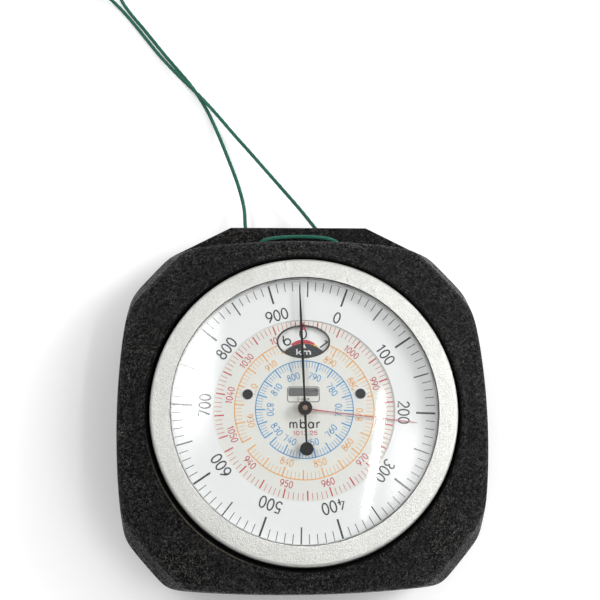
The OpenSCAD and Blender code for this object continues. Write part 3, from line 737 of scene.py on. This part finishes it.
def outline_row(z, inset, crisp, trim=0):
    """A row for the plain outline of the case."""
    return (z, inset, crisp, 0, 0, trim, COLLAR_R)


def circle_row(z, radius):
    """A row for a circle."""
    return (z, 0, 30, 1, 0, 0, radius)


def tube_wall(centre, outer, inner, low, high, steps=48):
    """A closed tube standing on a point: a four-sided profile turned about its own axis."""
    profile = [(outer, low), (outer, high), (inner, high), (inner, low)]
    return lathe(profile, steps) + [centre[0], centre[1], 0]


def make_front_shell():
    """The front shell: its outer rings rise from the parting line over the shoulder to the
    collar, then drop through the bezel's recess and opening and back down inside."""
    c = COLLAR_R
    foot = [outline_row(PART_Z, 0.35, 60, 0.5)]
    outer = between([
        outline_row(PART_Z + 0.5, 0, 60, 0.6), (PART_Z + 4, 0.1, 55, 0, 0.6, 2.3, c),
        (RIM_Z - 0.8, 0.4, 45, 0, 3.8, 3.4, c), (RIM_Z + 0.6, 1.0, 36, 0, 4.5, 3.6, c),
        (RIM_Z + 1.4, 2.2, 30, 0.02, 4.6, 3.6, c), (RIM_Z + 2.0, 4.0, 26, 0.4, 3.2, 3.4, c),
        (RIM_Z + 2.4, 4.8, 22, 0.85, 1, 3.4, c)], 5)
    collar = between([
        circle_row(RIM_Z + 2.7, c), circle_row(COLLAR_Z - 0.4, c - 0.5),
        circle_row(COLLAR_Z, c - 1.3)], 4)
    inner = [
        circle_row(COLLAR_Z, c - 2.2), circle_row(COLLAR_Z - 0.25, RECESS_R),
        circle_row(SEAT_Z, RECESS_R), circle_row(SEAT_Z, OPENING_R),
        circle_row(OPENING_TOP, OPENING_R), circle_row(OPENING_TOP, RECESS_R - 1.5),
        circle_row(RIM_Z - 4, RECESS_R - 1.5), outline_row(RIM_Z - 4, WALL, 60, 4.4),
        outline_row(PART_Z, WALL, 60, 4.4)]
    shell = case_rings(np.vstack([foot, outer, collar, inner]))
    posts = [tube_wall(p, SCREW_POST_R, SCREW_TAP_R, PART_Z, RIM_Z - 4.2) for p in SCREW_PLACES]
    points, faces = gather([shell] + posts)
    piece = add_piece("front_shell_skin", points * MM, faces, MAT["case"], "case")
    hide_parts("front_shell")


def inset_outline(corners, inset):
    """A convex outline, anticlockwise, drawn in by a distance square to each of its sides."""
    corners = np.asarray(corners, float)
    after = np.roll(corners, -1, 0) - corners
    after /= np.hypot(after[:, 0], after[:, 1])[:, None]
    before = np.roll(after, 1, 0)
    half = (np.stack([-after[:, 1], after[:, 0]], -1) + np.stack([-before[:, 1], before[:, 0]], -1))
    return corners + half * (2 * inset / np.sum(half ** 2, 1))[:, None]


def plate_rings(corners, low, high, edge, steps=5):
    """A plate with rounded rims: its outline drawn in by a quarter circle at both faces,
    with each face closed by a last ring drawn in to the middle."""
    turn = np.linspace(0, math.pi / 2, steps)
    rows = [(low + edge * (1 - math.cos(t)), edge * (1 - math.sin(t))) for t in turn]
    rows += [(high - edge * (1 - math.cos(t)), edge * (1 - math.sin(t))) for t in turn[::-1]]
    rings = [np.column_stack([inset_outline(corners, i), np.full(len(corners), z)])
             for z, i in rows]
    middle = np.mean(corners, axis=0)
    first = np.tile([middle[0], middle[1], low], (len(corners), 1))
    last = np.tile([middle[0], middle[1], high], (len(corners), 1))
    return np.array([first] + rings + [last])


def pad_corners():
    """The eight corners of the resting pad: straight lines parallel to sides and cut corners."""
    c, s = math.cos(math.radians(CORNER_DIR)), math.sin(math.radians(CORNER_DIR))
    x, y, cut = CASE_W / 2 - PAD_INSET, CASE_H / 2 - PAD_INSET, CORNER_REACH - PAD_INSET
    low, near = (cut - x * c) / s, (cut - y * s) / c
    return [(x, -low), (x, low), (near, y), (-near, y), (-x, low), (-x, -low), (-near, -y),
            (near, -y)]


def solid_of(name, grids, closed=False):
    """A loose object of closed skins, for cutting and joining."""
    points, faces = gather(grids, closed)
    mesh = bpy.data.meshes.new(name)
    mesh.from_pydata((points * MM).tolist(), [], faces.tolist())
    clean(mesh, True)
    return put_in(name, mesh)


def carved(base, others):
    """The mesh of a solid after others are joined to it or cut from it, in their order."""
    for operation, other in others:
        cut = base.modifiers.new("cut", "BOOLEAN")
        cut.operation = operation
        cut.solver = "EXACT"
        cut.object = other
    graph = bpy.context.evaluated_depsgraph_get()
    mesh = bpy.data.meshes.new_from_object(base.evaluated_get(graph))
    for made in [base] + [other for _, other in others]:
        bpy.data.objects.remove(made)
    return mesh


def make_back_shell():
    """The back shell: outer rings from the floor to the parting line and the hollow inside,
    joined with the resting pad and the cord tab, and drilled for screws, key and cord."""
    rim = PART_Z - GASKET
    under = [outline_row(0.35, 40, 30), outline_row(0.35, 15, 32)]
    outer = between([
        outline_row(0.35, 5.2, 32), outline_row(0.7, 3.4, 34), outline_row(2.4, 1.8, 40),
        outline_row(6, 0.9, 50), outline_row(13, 0.3, 60), outline_row(rim - 0.5, 0, 60, 0.5)], 4)
    inner = [
        outline_row(rim, 0.35, 60, 0.5), outline_row(rim, WALL + 1.2, 60),
        outline_row(FLOOR_T, WALL + 1.2, 60), outline_row(FLOOR_T, 40, 30)]
    rings = case_rings(np.vstack([under, outer, inner]))
    first, last = rings[:1] * [0, 0, 1], rings[-1:] * [0, 0, 1]
    shell = solid_of("shell", [np.vstack([first, rings, last])])
    tab_corners = TAB_EDGE + [(-x, y) for x, y in TAB_EDGE[::-1]]
    pad = solid_of("pad", [plate_rings(pad_corners(), 0, 1, 0.2)])
    tab = solid_of("tab", [plate_rings(tab_corners, TAB_LOW, TAB_HIGH, 0.7)])
    posts = solid_of("posts", [tube_wall(p, SCREW_POST_R, SCREW_HOLE_R, 1.5, rim)
                               for p in SCREW_PLACES], True)

    def drill(place, *steps):
        """A pin of one or more (radius, low, high), one above the other, to cut a hole."""
        sides = [(r, z) for r, low, high in steps for z in (low, high)]
        profile = [(0, steps[0][1])] + sides + [(0, steps[-1][2])]
        return lathe(profile, 48) + [*place, 0]

    drills = solid_of("drills", [
        drill(p, (SCREW_HEAD_R, -1, SCREW_HEAD_Z), (SCREW_HOLE_R, SCREW_HEAD_Z, 25))
        for p in SCREW_PLACES])
    holes = solid_of("holes", [drill(ZERO_PLACE, (ZERO_KEY_R, -1, 4))] + [
        drill((x, HOLE_Y), (HOLE_R, 5, 20)) for x in (-HOLE_X, HOLE_X)])
    mesh = carved(shell, [("UNION", pad), ("UNION", tab), ("UNION", posts),
                          ("DIFFERENCE", drills), ("DIFFERENCE", holes)])
    piece = finish_piece("back_shell_skin", mesh, MAT["case"], "case", 35.0)
    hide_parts("back_shell")


make_front_shell()
make_back_shell()


# Bezel, crystal and marker hand

MARKER_BEARING = 97.4
MARKER_BLADE = (32.05, 32.25)
MARKER_RING = (31.95, 32.4)


def turned_piece(name, profile, finish, crease=35.0):
    """A piece that turns with the bezel: a closed profile turned about the hands' axis."""
    points = lathe(profile) * MM
    faces = grid_faces(*points.shape[:2], True, True)
    return add_piece(name, points, faces, MAT[finish], "bezel_group", crease)


def make_bezel():
    """The bezel turned from one profile: foot, slanting side, small chamfer, a top that is
    almost flat as far as the sight edge, and the bore and skirt behind it."""
    profile = [
        (SKIRT_R, SEAT_Z + 0.3), (BEZEL_R - 0.4, SEAT_Z + 0.3), (BEZEL_R, SEAT_Z + 0.7),
        (BEZEL_R, SEAT_Z + 1.4), (BEZEL_R - 0.35, BEZEL_TOP - 0.9),
        (BEZEL_R - 0.7, BEZEL_TOP - 0.35), (BEZEL_R - 1.1, BEZEL_TOP - 0.14),
        (SIGHT_R + 0.2, BEZEL_TOP), (SIGHT_R, BEZEL_TOP - 0.15), (SIGHT_R, FLANGE_TOP),
        (BORE_R, FLANGE_TOP), (BORE_R, 27.2), (SKIRT_R, 27.2)]
    piece = turned_piece("bezel_ring", rounded(profile, 0.12), "bezel")
    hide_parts("bezel")


def make_crystal():
    """The crystal turned from two spherical caps, one above the other, on a flat flange."""
    rim = SIGHT_R - 0.2
    clear = rim - CRYSTAL_T
    foot = FLANGE_TOP + 1
    rise = CRYSTAL_TOP - foot

    def cap(half, base):
        """A quarter of the section through a cap, from its rim to its top."""
        r = np.linspace(half, 0, 40)
        ball = (half ** 2 + rise ** 2) / (2 * rise)
        return np.stack([r, base + np.sqrt(ball ** 2 - r ** 2) - (ball - rise)], -1)

    outer = cap(rim, foot)
    inner = cap(clear, foot - CRYSTAL_T)[::-1]
    flange = [(clear, CRYSTAL_Z), (BORE_R - 0.05, CRYSTAL_Z), (BORE_R - 0.05, FLANGE_TOP),
              (rim, FLANGE_TOP)]
    profile = np.vstack([outer, inner, flange])
    piece = turned_piece("crystal_dome", profile, "crystal", 50)
    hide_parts("crystal")


def make_marker_hand():
    """The red marker hand: a ring on the centre tube and a flat blade that tapers along the
    rows of (distance, half width)."""
    rows = np.array([(1.9, 0.23), (10, 0.14), (34.2, 0.11), (35.2, 0.05)])
    a = math.radians(MARKER_BEARING)
    along, across = np.array([math.sin(a), math.cos(a)]), np.array([math.cos(a), -math.sin(a)])
    rings = []
    low, high = MARKER_BLADE
    for side, z in ((1, low), (-1, low), (-1, high), (1, high)):
        flat = rows[:, :1] * along + side * rows[:, 1:] * across
        rings.append(np.column_stack([flat, np.full(len(rows), z)]))
    rings = np.stack(rings, 1)
    ends = rings[[0, -1]].mean(1, keepdims=True).repeat(4, 1)
    blade = np.concatenate([ends[:1], rings, ends[1:]])
    ring = tube_wall((0, 0), 2.1, 1.55, *MARKER_RING, 64)
    faces = np.vstack([grid_faces(*ring.shape[:2], True, True),
                       grid_faces(*blade.shape[:2], False, True) + ring.shape[0] * ring.shape[1]])
    points = np.vstack([ring.reshape(-1, 3), blade.reshape(-1, 3)]) * MM
    piece = add_piece("marker_blade", points, faces, MAT["hand_red"], "marker_group")
    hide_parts("marker_hand")


make_bezel()
make_crystal()
make_marker_hand()


# Printing: every mark is a thin closed strip of ink laid on its face

PRINT_T = 0.02
INK_RISE = 0.012
HOLE_STEP = 0.05


class Print:
    """Collects strips and plates of ink of one colour, at a level, in millimetres. The page
    may have a hole, which is known by a test of the points outside it."""

    def __init__(self, level=DIAL_TOP + INK_RISE, outside=None):
        self.level = level
        self.outside = outside
        self.points = []
        self.faces = []
        self.count = 0

    def _take(self, points, faces):
        self.points.append(points)
        self.faces.append(faces + self.count)
        self.count += len(points)

    def strip(self, line, width, closed=False):
        """A strip of even width along a line of points, with square ends. On a page with a
        hole, only the stretches outside the hole are laid."""
        if self.outside and not closed:
            for part in stretches(line, self.outside):
                self._strip(part, width, False)
        else:
            self._strip(line, width, closed)

    def _strip(self, line, width, closed):
        line = np.asarray(line, float)
        step = np.gradient(line, axis=0)
        if closed:
            step = np.roll(line, -1, 0) - np.roll(line, 1, 0)
        along = step / np.maximum(1e-9, np.hypot(step[:, 0], step[:, 1]))[:, None]
        side = np.stack([-along[:, 1], along[:, 0]], -1) * width / 2
        low, high = self.level, self.level + PRINT_T
        corners = [(line + side, low), (line - side, low), (line - side, high), (line + side, high)]
        rings = np.stack([np.column_stack([p, np.full(len(p), z)]) for p, z in corners], 1)
        faces = grid_faces(len(line), 4, wrap_rows=closed, wrap_columns=True)
        if not closed:
            last = 4 * (len(line) - 1)
            faces = np.vstack([faces, [[3, 2, 1, 0]], [[last, last + 1, last + 2, last + 3]]])
        self._take(rings.reshape(-1, 3), faces)

    def plate(self, rows):
        """A plate between rows of points: each row goes from one edge to the other."""
        rows = np.asarray(rows, float)
        n, m = rows.shape[:2]
        low = np.dstack([rows, np.full((n, m), self.level)]).reshape(-1, 3)
        high = low + [0, 0, PRINT_T]
        top = grid_faces(n, m)
        index = np.arange(n * m).reshape(n, m)
        edge = np.concatenate([index[0, :-1], index[:-1, -1], index[-1, :0:-1], index[:0:-1, 0]])
        after = np.roll(edge, -1)
        sides = np.stack([edge, after, after + n * m, edge + n * m], -1)
        self._take(np.vstack([low, high]), np.vstack([top[:, ::-1], top + n * m, sides]))

    def make(self, name, finish, body="case"):
        return add_piece(name, np.vstack(self.points) * MM, np.vstack(self.faces), MAT[finish],
                         body, 30)


def arc(centre, radii, start, end, steps=14):
    """Points on an ellipse from one angle to another, in degrees counter-clockwise from +X."""
    a = np.radians(np.linspace(start, end, steps))
    return np.stack([centre[0] + radii[0] * np.cos(a), centre[1] + radii[1] * np.sin(a)], -1)


def line(*points):
    """The straight pieces of a figure."""
    return np.asarray(points, float)


def stretches(route, outside):
    """The stretches of a line on which a test of its points holds, cut to HOLE_STEP."""
    route = np.asarray(route, float)
    gone = np.concatenate([[0], np.cumsum(np.hypot(*np.diff(route, axis=0).T))])
    at = np.unique(np.concatenate([gone, np.arange(0, gone[-1], HOLE_STEP)]))
    fine = np.stack([np.interp(at, gone, route[:, k]) for k in (0, 1)], -1)
    kept = outside(fine)
    if kept.all():
        return [route]
    parts = np.split(np.arange(len(fine)), np.flatnonzero(np.diff(kept.astype(int))) + 1)
    return [fine[p] for p in parts if kept[p[0]] and len(p) > 3]


# Thin round figures, one unit tall: each is a list of lines and an advance
GLYPHS = {
    "0": ([arc((0.3, 0.5), (0.26, 0.5), 90, 450, 28)], 0.6),
    "1": ([line((0.12, 0.78), (0.34, 1), (0.34, 0))], 0.5),
    "2": ([np.vstack([arc((0.3, 0.72), (0.25, 0.28), 165, -38), line((0.04, 0), (0.58, 0))])], 0.6),
    "3": ([arc((0.28, 0.76), (0.22, 0.24), 150, -90), arc((0.28, 0.26), (0.26, 0.26), 90, -150)],
          0.6),
    "4": ([line((0.42, 1), (0.03, 0.3), (0.62, 0.3)), line((0.44, 0.56), (0.44, 0))], 0.65),
    "5": ([np.vstack([line((0.5, 1), (0.14, 1), (0.1, 0.56)),
                      arc((0.28, 0.32), (0.26, 0.32), 125, -150)])], 0.6),
    "6": ([np.vstack([line((0.42, 1), (0.3, 0.84)), arc((0.46, 0.34), (0.42, 0.5), 125, 185, 8)]),
           arc((0.3, 0.3), (0.26, 0.3), 180, 540, 24)], 0.6),
    "7": ([line((0.04, 1), (0.56, 1), (0.22, 0))], 0.6),
    "8": ([arc((0.3, 0.77), (0.2, 0.23), -90, 270, 20),
           arc((0.3, 0.27), (0.26, 0.27), 90, 450, 24)], 0.6),
    "9": ([np.vstack([line((0.18, 0), (0.3, 0.16)), arc((0.14, 0.66), (0.42, 0.5), -55, 5, 8)]),
           arc((0.3, 0.7), (0.26, 0.3), 0, 360, 24)], 0.6),
    "k": ([line((0.08, 0), (0.08, 1)), line((0.42, 0.64), (0.08, 0.26)),
           line((0.2, 0.4), (0.46, 0))], 0.5),
    "m": ([line((0.08, 0), (0.08, 0.64)),
           np.vstack([arc((0.23, 0.44), (0.15, 0.2), 180, 0, 9), line((0.38, 0))]),
           np.vstack([arc((0.53, 0.44), (0.15, 0.2), 180, 0, 9), line((0.68, 0))])], 0.82),
    "b": ([line((0.08, 0), (0.08, 1)), arc((0.3, 0.32), (0.22, 0.32), 180, 540, 22)], 0.62),
    "a": ([arc((0.28, 0.32), (0.22, 0.32), 0, 360, 22), line((0.5, 0.64), (0.5, 0))], 0.62),
    "r": ([line((0.08, 0), (0.08, 0.64)), arc((0.3, 0.4), (0.22, 0.24), 180, 75, 8)], 0.4),
    ".": ([line((0.08, 0), (0.08, 0.12))], 0.24),
    "-": ([line((0.06, 0.42), (0.4, 0.42))], 0.48),
    " ": ([], 0.3),
}
GLYPH_GAP = 0.13


def bearing_point(radius, bearing):
    """The point at a distance from the axis, in a bearing clockwise from the top."""
    a = np.radians(bearing)
    return np.array([radius * np.sin(a), radius * np.cos(a)])


def write(page, text, centre, height, width, turn, narrow=1.0):
    """Writes figures centred on a point, of a height and a width of stroke, turned clockwise
    by degrees, and drawn in or out sideways by a factor."""
    total = sum(GLYPHS[c][1] * narrow + GLYPH_GAP for c in text) - GLYPH_GAP
    a = math.radians(-turn)
    spin = np.array([[math.cos(a), -math.sin(a)], [math.sin(a), math.cos(a)]])
    x = -total / 2
    for c in text:
        strokes, advance = GLYPHS[c]
        for stroke in strokes:
            local = (stroke * [narrow, 1] + [x, -0.5]) * height
            page.strip(local @ spin.T + centre, width)
        x += advance * narrow + GLYPH_GAP


def tick(page, bearing, inner, outer, width):
    """A straight mark in a bearing, from one radius to another."""
    page.strip([bearing_point(inner, bearing), bearing_point(outer, bearing)], width)


# The altitude scale on the ring that turns with the bezel

ZERO_BEARING = 20.4
HUNDRED_R = 30.9
HUNDRED_FIGURE = (3.4, 0.46)
TICK_END = 40.8
HUNDRED_TICK = (6.0, 0.6)
FIFTY_TICK = (5.0, 0.4)
TEN_TICK = (2.9, 0.22)


def print_altitude_scale():
    """A tick every 3.6 degrees, longer and wider at each fifth and tenth, and the hundreds
    inside them, each turned with its bearing."""
    page = Print(RING_TOP + INK_RISE)
    for k in range(100):
        length, width = HUNDRED_TICK if k % 10 == 0 else FIFTY_TICK if k % 5 == 0 else TEN_TICK
        tick(page, ZERO_BEARING + 3.6 * k, TICK_END - length, TICK_END, width)
    for k in range(10):
        bearing = ZERO_BEARING + 36 * k
        write(page, str(100 * k), bearing_point(HUNDRED_R, bearing), *HUNDRED_FIGURE, bearing)
    page.make("altitude_print", "ink_black", "bezel_group")


# The pressure scales: three turns of one mark a millibar by the standard atmosphere

SEA_PRESSURE = 1013.25
RISE_PER_TURN = 1000.0
WINDOW_Y = 21.4
WINDOW_HALF = (8.0, 4.9)
LONG_TICK_W = 0.4
SHORT_TICK_W = 0.16
PRESSURE_FIGURE = (2.0, 0.26)


def beyond_window(points):
    """Whether points lie outside the line round the kilometre window."""
    off = (points - [0, WINDOW_Y]) / (np.array(WINDOW_HALF) + 0.35)
    return np.hypot(off[:, 0], off[:, 1]) > 1


def pressure_bearing(pressure):
    """Bearing of a pressure: 360 degrees for each 1000 m of height in the standard
    atmosphere, 44330.77 m times one less the pressure ratio to the power 0.190263."""
    height = 44330.77 * (1 - (pressure / SEA_PRESSURE) ** 0.190263)
    return 360 * height / RISE_PER_TURN


def print_pressure_turn(name, ink_name, high, low, labels, outer, ticks, label_r, rim):
    """One turn of the pressure scale, from its highest to its lowest pressure. Its ticks run
    in from the outer radius by the long or short length, and a rim may join them."""
    page = Print(outside=beyond_window)
    for p in range(low, high + 1):
        long = p % 5 == 0
        tick(page, pressure_bearing(p), outer - ticks[0 if long else 1], outer,
             LONG_TICK_W if long else SHORT_TICK_W)
    for p in labels:
        bearing = pressure_bearing(p)
        inward = 90 < bearing % 360 < 270
        write(page, str(p), bearing_point(label_r, bearing), *PRESSURE_FIGURE,
              bearing + (180 if inward else 0), 0.95)
    if rim:
        sweep = np.linspace(pressure_bearing(high), pressure_bearing(low), 200)
        page.strip(np.array([bearing_point(outer, b) for b in sweep]), 0.3)
    page.make(name, ink_name)


def print_pressure_scales():
    """Three turns, one inside the other, each in its own ink."""
    red = [p for p in range(950, 1051, 10) if p != 1010] + [940]
    orange = [930, 920, 910, 890, 880, 870, 860, 850, 840]
    blue = [830, 820, 810, 800, 790, 780, 770, 760, 750, 740]
    print_pressure_turn("pressure_print_red", "ink_red", 1050, 935, red, 27.9, (2.9, 2.2), 23.5,
                        False)
    print_pressure_turn("pressure_print_orange", "ink_orange", 935, 830, orange, 21.7,
                        (3.0, 2.3), 17.1, True)
    print_pressure_turn("pressure_print_blue", "ink_blue", 830, 735, blue, 15.2, (3.0, 2.1), 10.6,
                        True)


# The window of the kilometre disc, the screws' halos and the plain marks in the middle

SEGMENT_R = 8.6
SEGMENT_Y = WINDOW_Y - 0.6 - SEGMENT_R
SCREW_X, SCREW_Y = 17.6, 4.7
HALO_RADII = (1.62, 2.35)
BADGE = (-0.3, 4.6)


def rounded_box(centre, half, corner, steps=7):
    """Points round a rectangle whose corners are quarter circles."""
    out = []
    for k, (sx, sy) in enumerate([(1, 1), (-1, 1), (-1, -1), (1, -1)]):
        middle = (centre[0] + sx * (half[0] - corner), centre[1] + sy * (half[1] - corner))
        out.append(arc(middle, (corner, corner), 90 * k, 90 * k + 90, steps))
    return np.vstack(out)


def fan(page, outline):
    """A plate inside a closed outline, by rows that run from its middle out to its edge."""
    middle = outline.mean(0)
    closed = np.vstack([outline, outline[:1]])
    page.plate([middle + (closed - middle) * 0.02, closed])


def print_window():
    """A line round the window, and the black segment that its lower edge leaves standing,
    with the unit of the disc and a small pointer in white."""
    page = Print()
    frame_line = arc((0, WINDOW_Y), (WINDOW_HALF[0] + 0.2, WINDOW_HALF[1] + 0.2), 0, 360, 90)
    page.strip(frame_line[:-1], 0.56, True)
    x = np.linspace(-6.2, 6.2, 60)
    foot = WINDOW_Y - WINDOW_HALF[1] * np.sqrt(1 - (x / WINDOW_HALF[0]) ** 2)
    head = np.maximum(foot, SEGMENT_Y + np.sqrt(SEGMENT_R ** 2 - x ** 2) - 0.04)
    page.plate(np.stack([np.stack([x, foot], -1), np.stack([x, head], -1)]))
    page.make("window_print", "ink_black")
    page = Print(DIAL_TOP + INK_RISE + 2 * PRINT_T)
    write(page, "km", (0.1, 18.1), 1.85, 0.38, 0, 1.95)
    page.plate([[(0.15, 20.6), (0.25, 20.6)], [(-0.4, 19.3), (0.8, 19.3)]])
    page.make("window_lettering", "ink_white")


def print_middle():
    """The unit of the dial, a plain plate with its range, the pressure that it starts from
    with its pointer in red, and a pale ring round each dial screw."""
    page = Print()
    write(page, "mbar", (0, -4.5), 2.75, 0.42, 0, 1.28)
    page.make("unit_print", "ink_black")
    page = Print()
    page.strip(rounded_box(BADGE, (4.95, 2.35), 0.7), 0.26, True)
    fan(page, rounded_box((BADGE[0], BADGE[1] + 0.75), (4.7, 1.3), 0.6))
    write(page, "0-6 km", (BADGE[0], BADGE[1] - 1.4), 0.95, 0.15, 0)
    page.make("range_print", "ink_grey")
    page = Print()
    write(page, "1013.25", (0, -7.4), 1.15, 0.2, 0, 1.65)
    page.plate([[(-0.06, 27.7), (0.06, 27.7)], [(-0.8, 25.2), (0.8, 25.2)]])
    page.make("reference_print", "ink_red")
    page = Print(DIAL_TOP + INK_RISE + PRINT_T + 0.005)
    for x in (-SCREW_X, SCREW_X):
        page.plate([arc((x, SCREW_Y), (r, r), 0, 360, 49) for r in HALO_RADII])
    page.make("screw_halos", "halo")


# The kilometre disc: seven figures, and a band coloured by the turn of the pressure scale

DISC_Y = 16.32
KM_R = 7.9
KM_FIGURE = (3.3, 0.46)
KM_BEARINGS = [0, 54, 106, 158, 211, 264, 316]
BAND_RADII = (3.9, 5.95)
BAND = [("ink_red", -41.0, 38.0), ("ink_yellow", 38.0, 88.0), ("ink_blue", 88.0, 139.0)]


def print_km_disc():
    """The figures 0 to 6, and a band in the ink of the pressure turn that is to be read."""
    page = Print(DISC_TOP + INK_RISE)
    for k, bearing in enumerate(KM_BEARINGS):
        write(page, str(k), bearing_point(KM_R, bearing) + [0, DISC_Y], *KM_FIGURE, bearing, 1.2)
    page.make("km_figures", "ink_black", "km_group")
    for ink_name, start, end in BAND:
        page = Print(DISC_TOP + INK_RISE)
        page.plate([[bearing_point(r, b) + [0, DISC_Y] for b in np.linspace(start, end, 24)]
                    for r in BAND_RADII])
        page.make("km_band_" + ink_name[4:], ink_name, "km_group")


print_altitude_scale()
print_pressure_scales()
print_window()
print_middle()
print_km_disc()


# Stage and light

TABLE_HALF = 2.0
LAMP_Z = 0.7
ROOM_LIGHT = 0.37
ROOM_GLOSS = 0.45


def make_stage():
    """A white table that keeps the shadow, and melts into the white room away from the case.
    To the camera it glows with painted light that grows from about 71 mm off the axis,
    which whitens the floor beyond the shadow.
    """
    s = Shader("stage_white")
    far = radius_wire(s).above(0.34, 0.3)
    plain = s.add("ShaderNodeBsdfDiffuse", {}, {"Color": grey(0.95)})
    glow = s.add("ShaderNodeEmission", {}, {"Color": grey(1.0), "Strength": 2.0 - far})
    # Painted light: a glow the floor shows to the camera, rising beyond about 71 mm, to whiten it
    # round the case's shadow.
    painted_glow_beside = radius_wire(s, (-0.008, 0)).above(0.071, 0.034)
    cover = ray_of(s, "Camera", "Glossy", "Transmission") * (0.05 + painted_glow_beside * 0.16 + far * 0.79)
    h = TABLE_HALF
    mesh = bpy.data.meshes.new("table")
    mesh.from_pydata([(-h, -h, 0), (h, -h, 0), (h, h, 0), (-h, h, 0)], [], [(0, 1, 2, 3)])
    mesh.materials.append(s.finish(s.blend(cover, plain, glow)))
    stage = put_in("table", mesh)


def make_lamp(name, place, aim, size, power, edge):
    """A rectangular lamp, whose light fades to nothing at the rim over a share, the edge, of
    its half width and half length."""
    data = bpy.data.lights.new(name, "AREA")
    data.shape = "RECTANGLE"
    data.size, data.size_y = size
    data.energy = power
    s = Shader(name, data)
    spot = s.add("ShaderNodeNewGeometry", out="Parametric")
    fade = 1
    for way in ("X", "Y"):
        across = s.add("ShaderNodeSeparateXYZ", {}, {0: spot}, out=way)
        inside = 1 - (across - 0.5).absolute() * 2
        fade = inside.above(edge / 2, edge) * fade
    s.finish(s.add("ShaderNodeEmission", {}, {"Strength": fade}), "Light")
    lamp = put_in(name, data)
    lamp.location = Vector(place)
    lamp.rotation_euler = (Vector(place) - Vector(aim)).to_track_quat("Z", "Y").to_euler()
    return lamp


def make_world():
    """An even white room: full white to the camera and through glass, ROOM_GLOSS to what
    mirrors it, and ROOM_LIGHT as light on the object."""
    world = bpy.data.worlds.new("studio")
    bpy.context.scene.world = world
    s = Shader("studio", world)
    direct = ray_of(s, "Camera", "Transmission")
    room = ray_of(s, "Glossy") * (ROOM_GLOSS - ROOM_LIGHT) + ROOM_LIGHT
    strength = direct.math("MAXIMUM", direct, room)
    sky = s.add("ShaderNodeBackground", {}, {"Color": grey(1.0), "Strength": strength})
    s.finish(sky, "World")


def overhead(name, left, right, low, high, radiance, edge, turn=0.0):
    """A lamp over the table that faces straight down, by its sides and by its brightness:
    power = brightness times pi times area."""
    size = (right - left, high - low)
    power = radiance * math.pi * size[0] * size[1]
    middle = ((left + right) / 2, (low + high) / 2, LAMP_Z)
    lamp = make_lamp(name, middle, (middle[0], middle[1], 0), size, power, edge)
    lamp.rotation_euler = (0, 0, math.radians(-turn))


def make_lights():
    """A soft box to the left and a slim bright window and a wide haze to the right, whose
    glares show on the crystal, and a key lamp far to the right for the shadow at the left."""
    overhead("softbox", -0.56, -0.255, -0.12, 0.74, 8, 0.8)
    overhead("window", 0.286, 0.308, -0.338, 0.198, 36, 0.5, 9)
    overhead("haze", 0.31, 0.62, -0.44, 0.14, 3, 0.75)
    make_lamp("key", (0.76, 0.26, 0.56), (0, 0, 0.02), (0.5, 0.5), 18, 0.9)


make_stage()
make_world()
make_lights()
bpy.context.scene.view_settings.view_transform = "Standard"
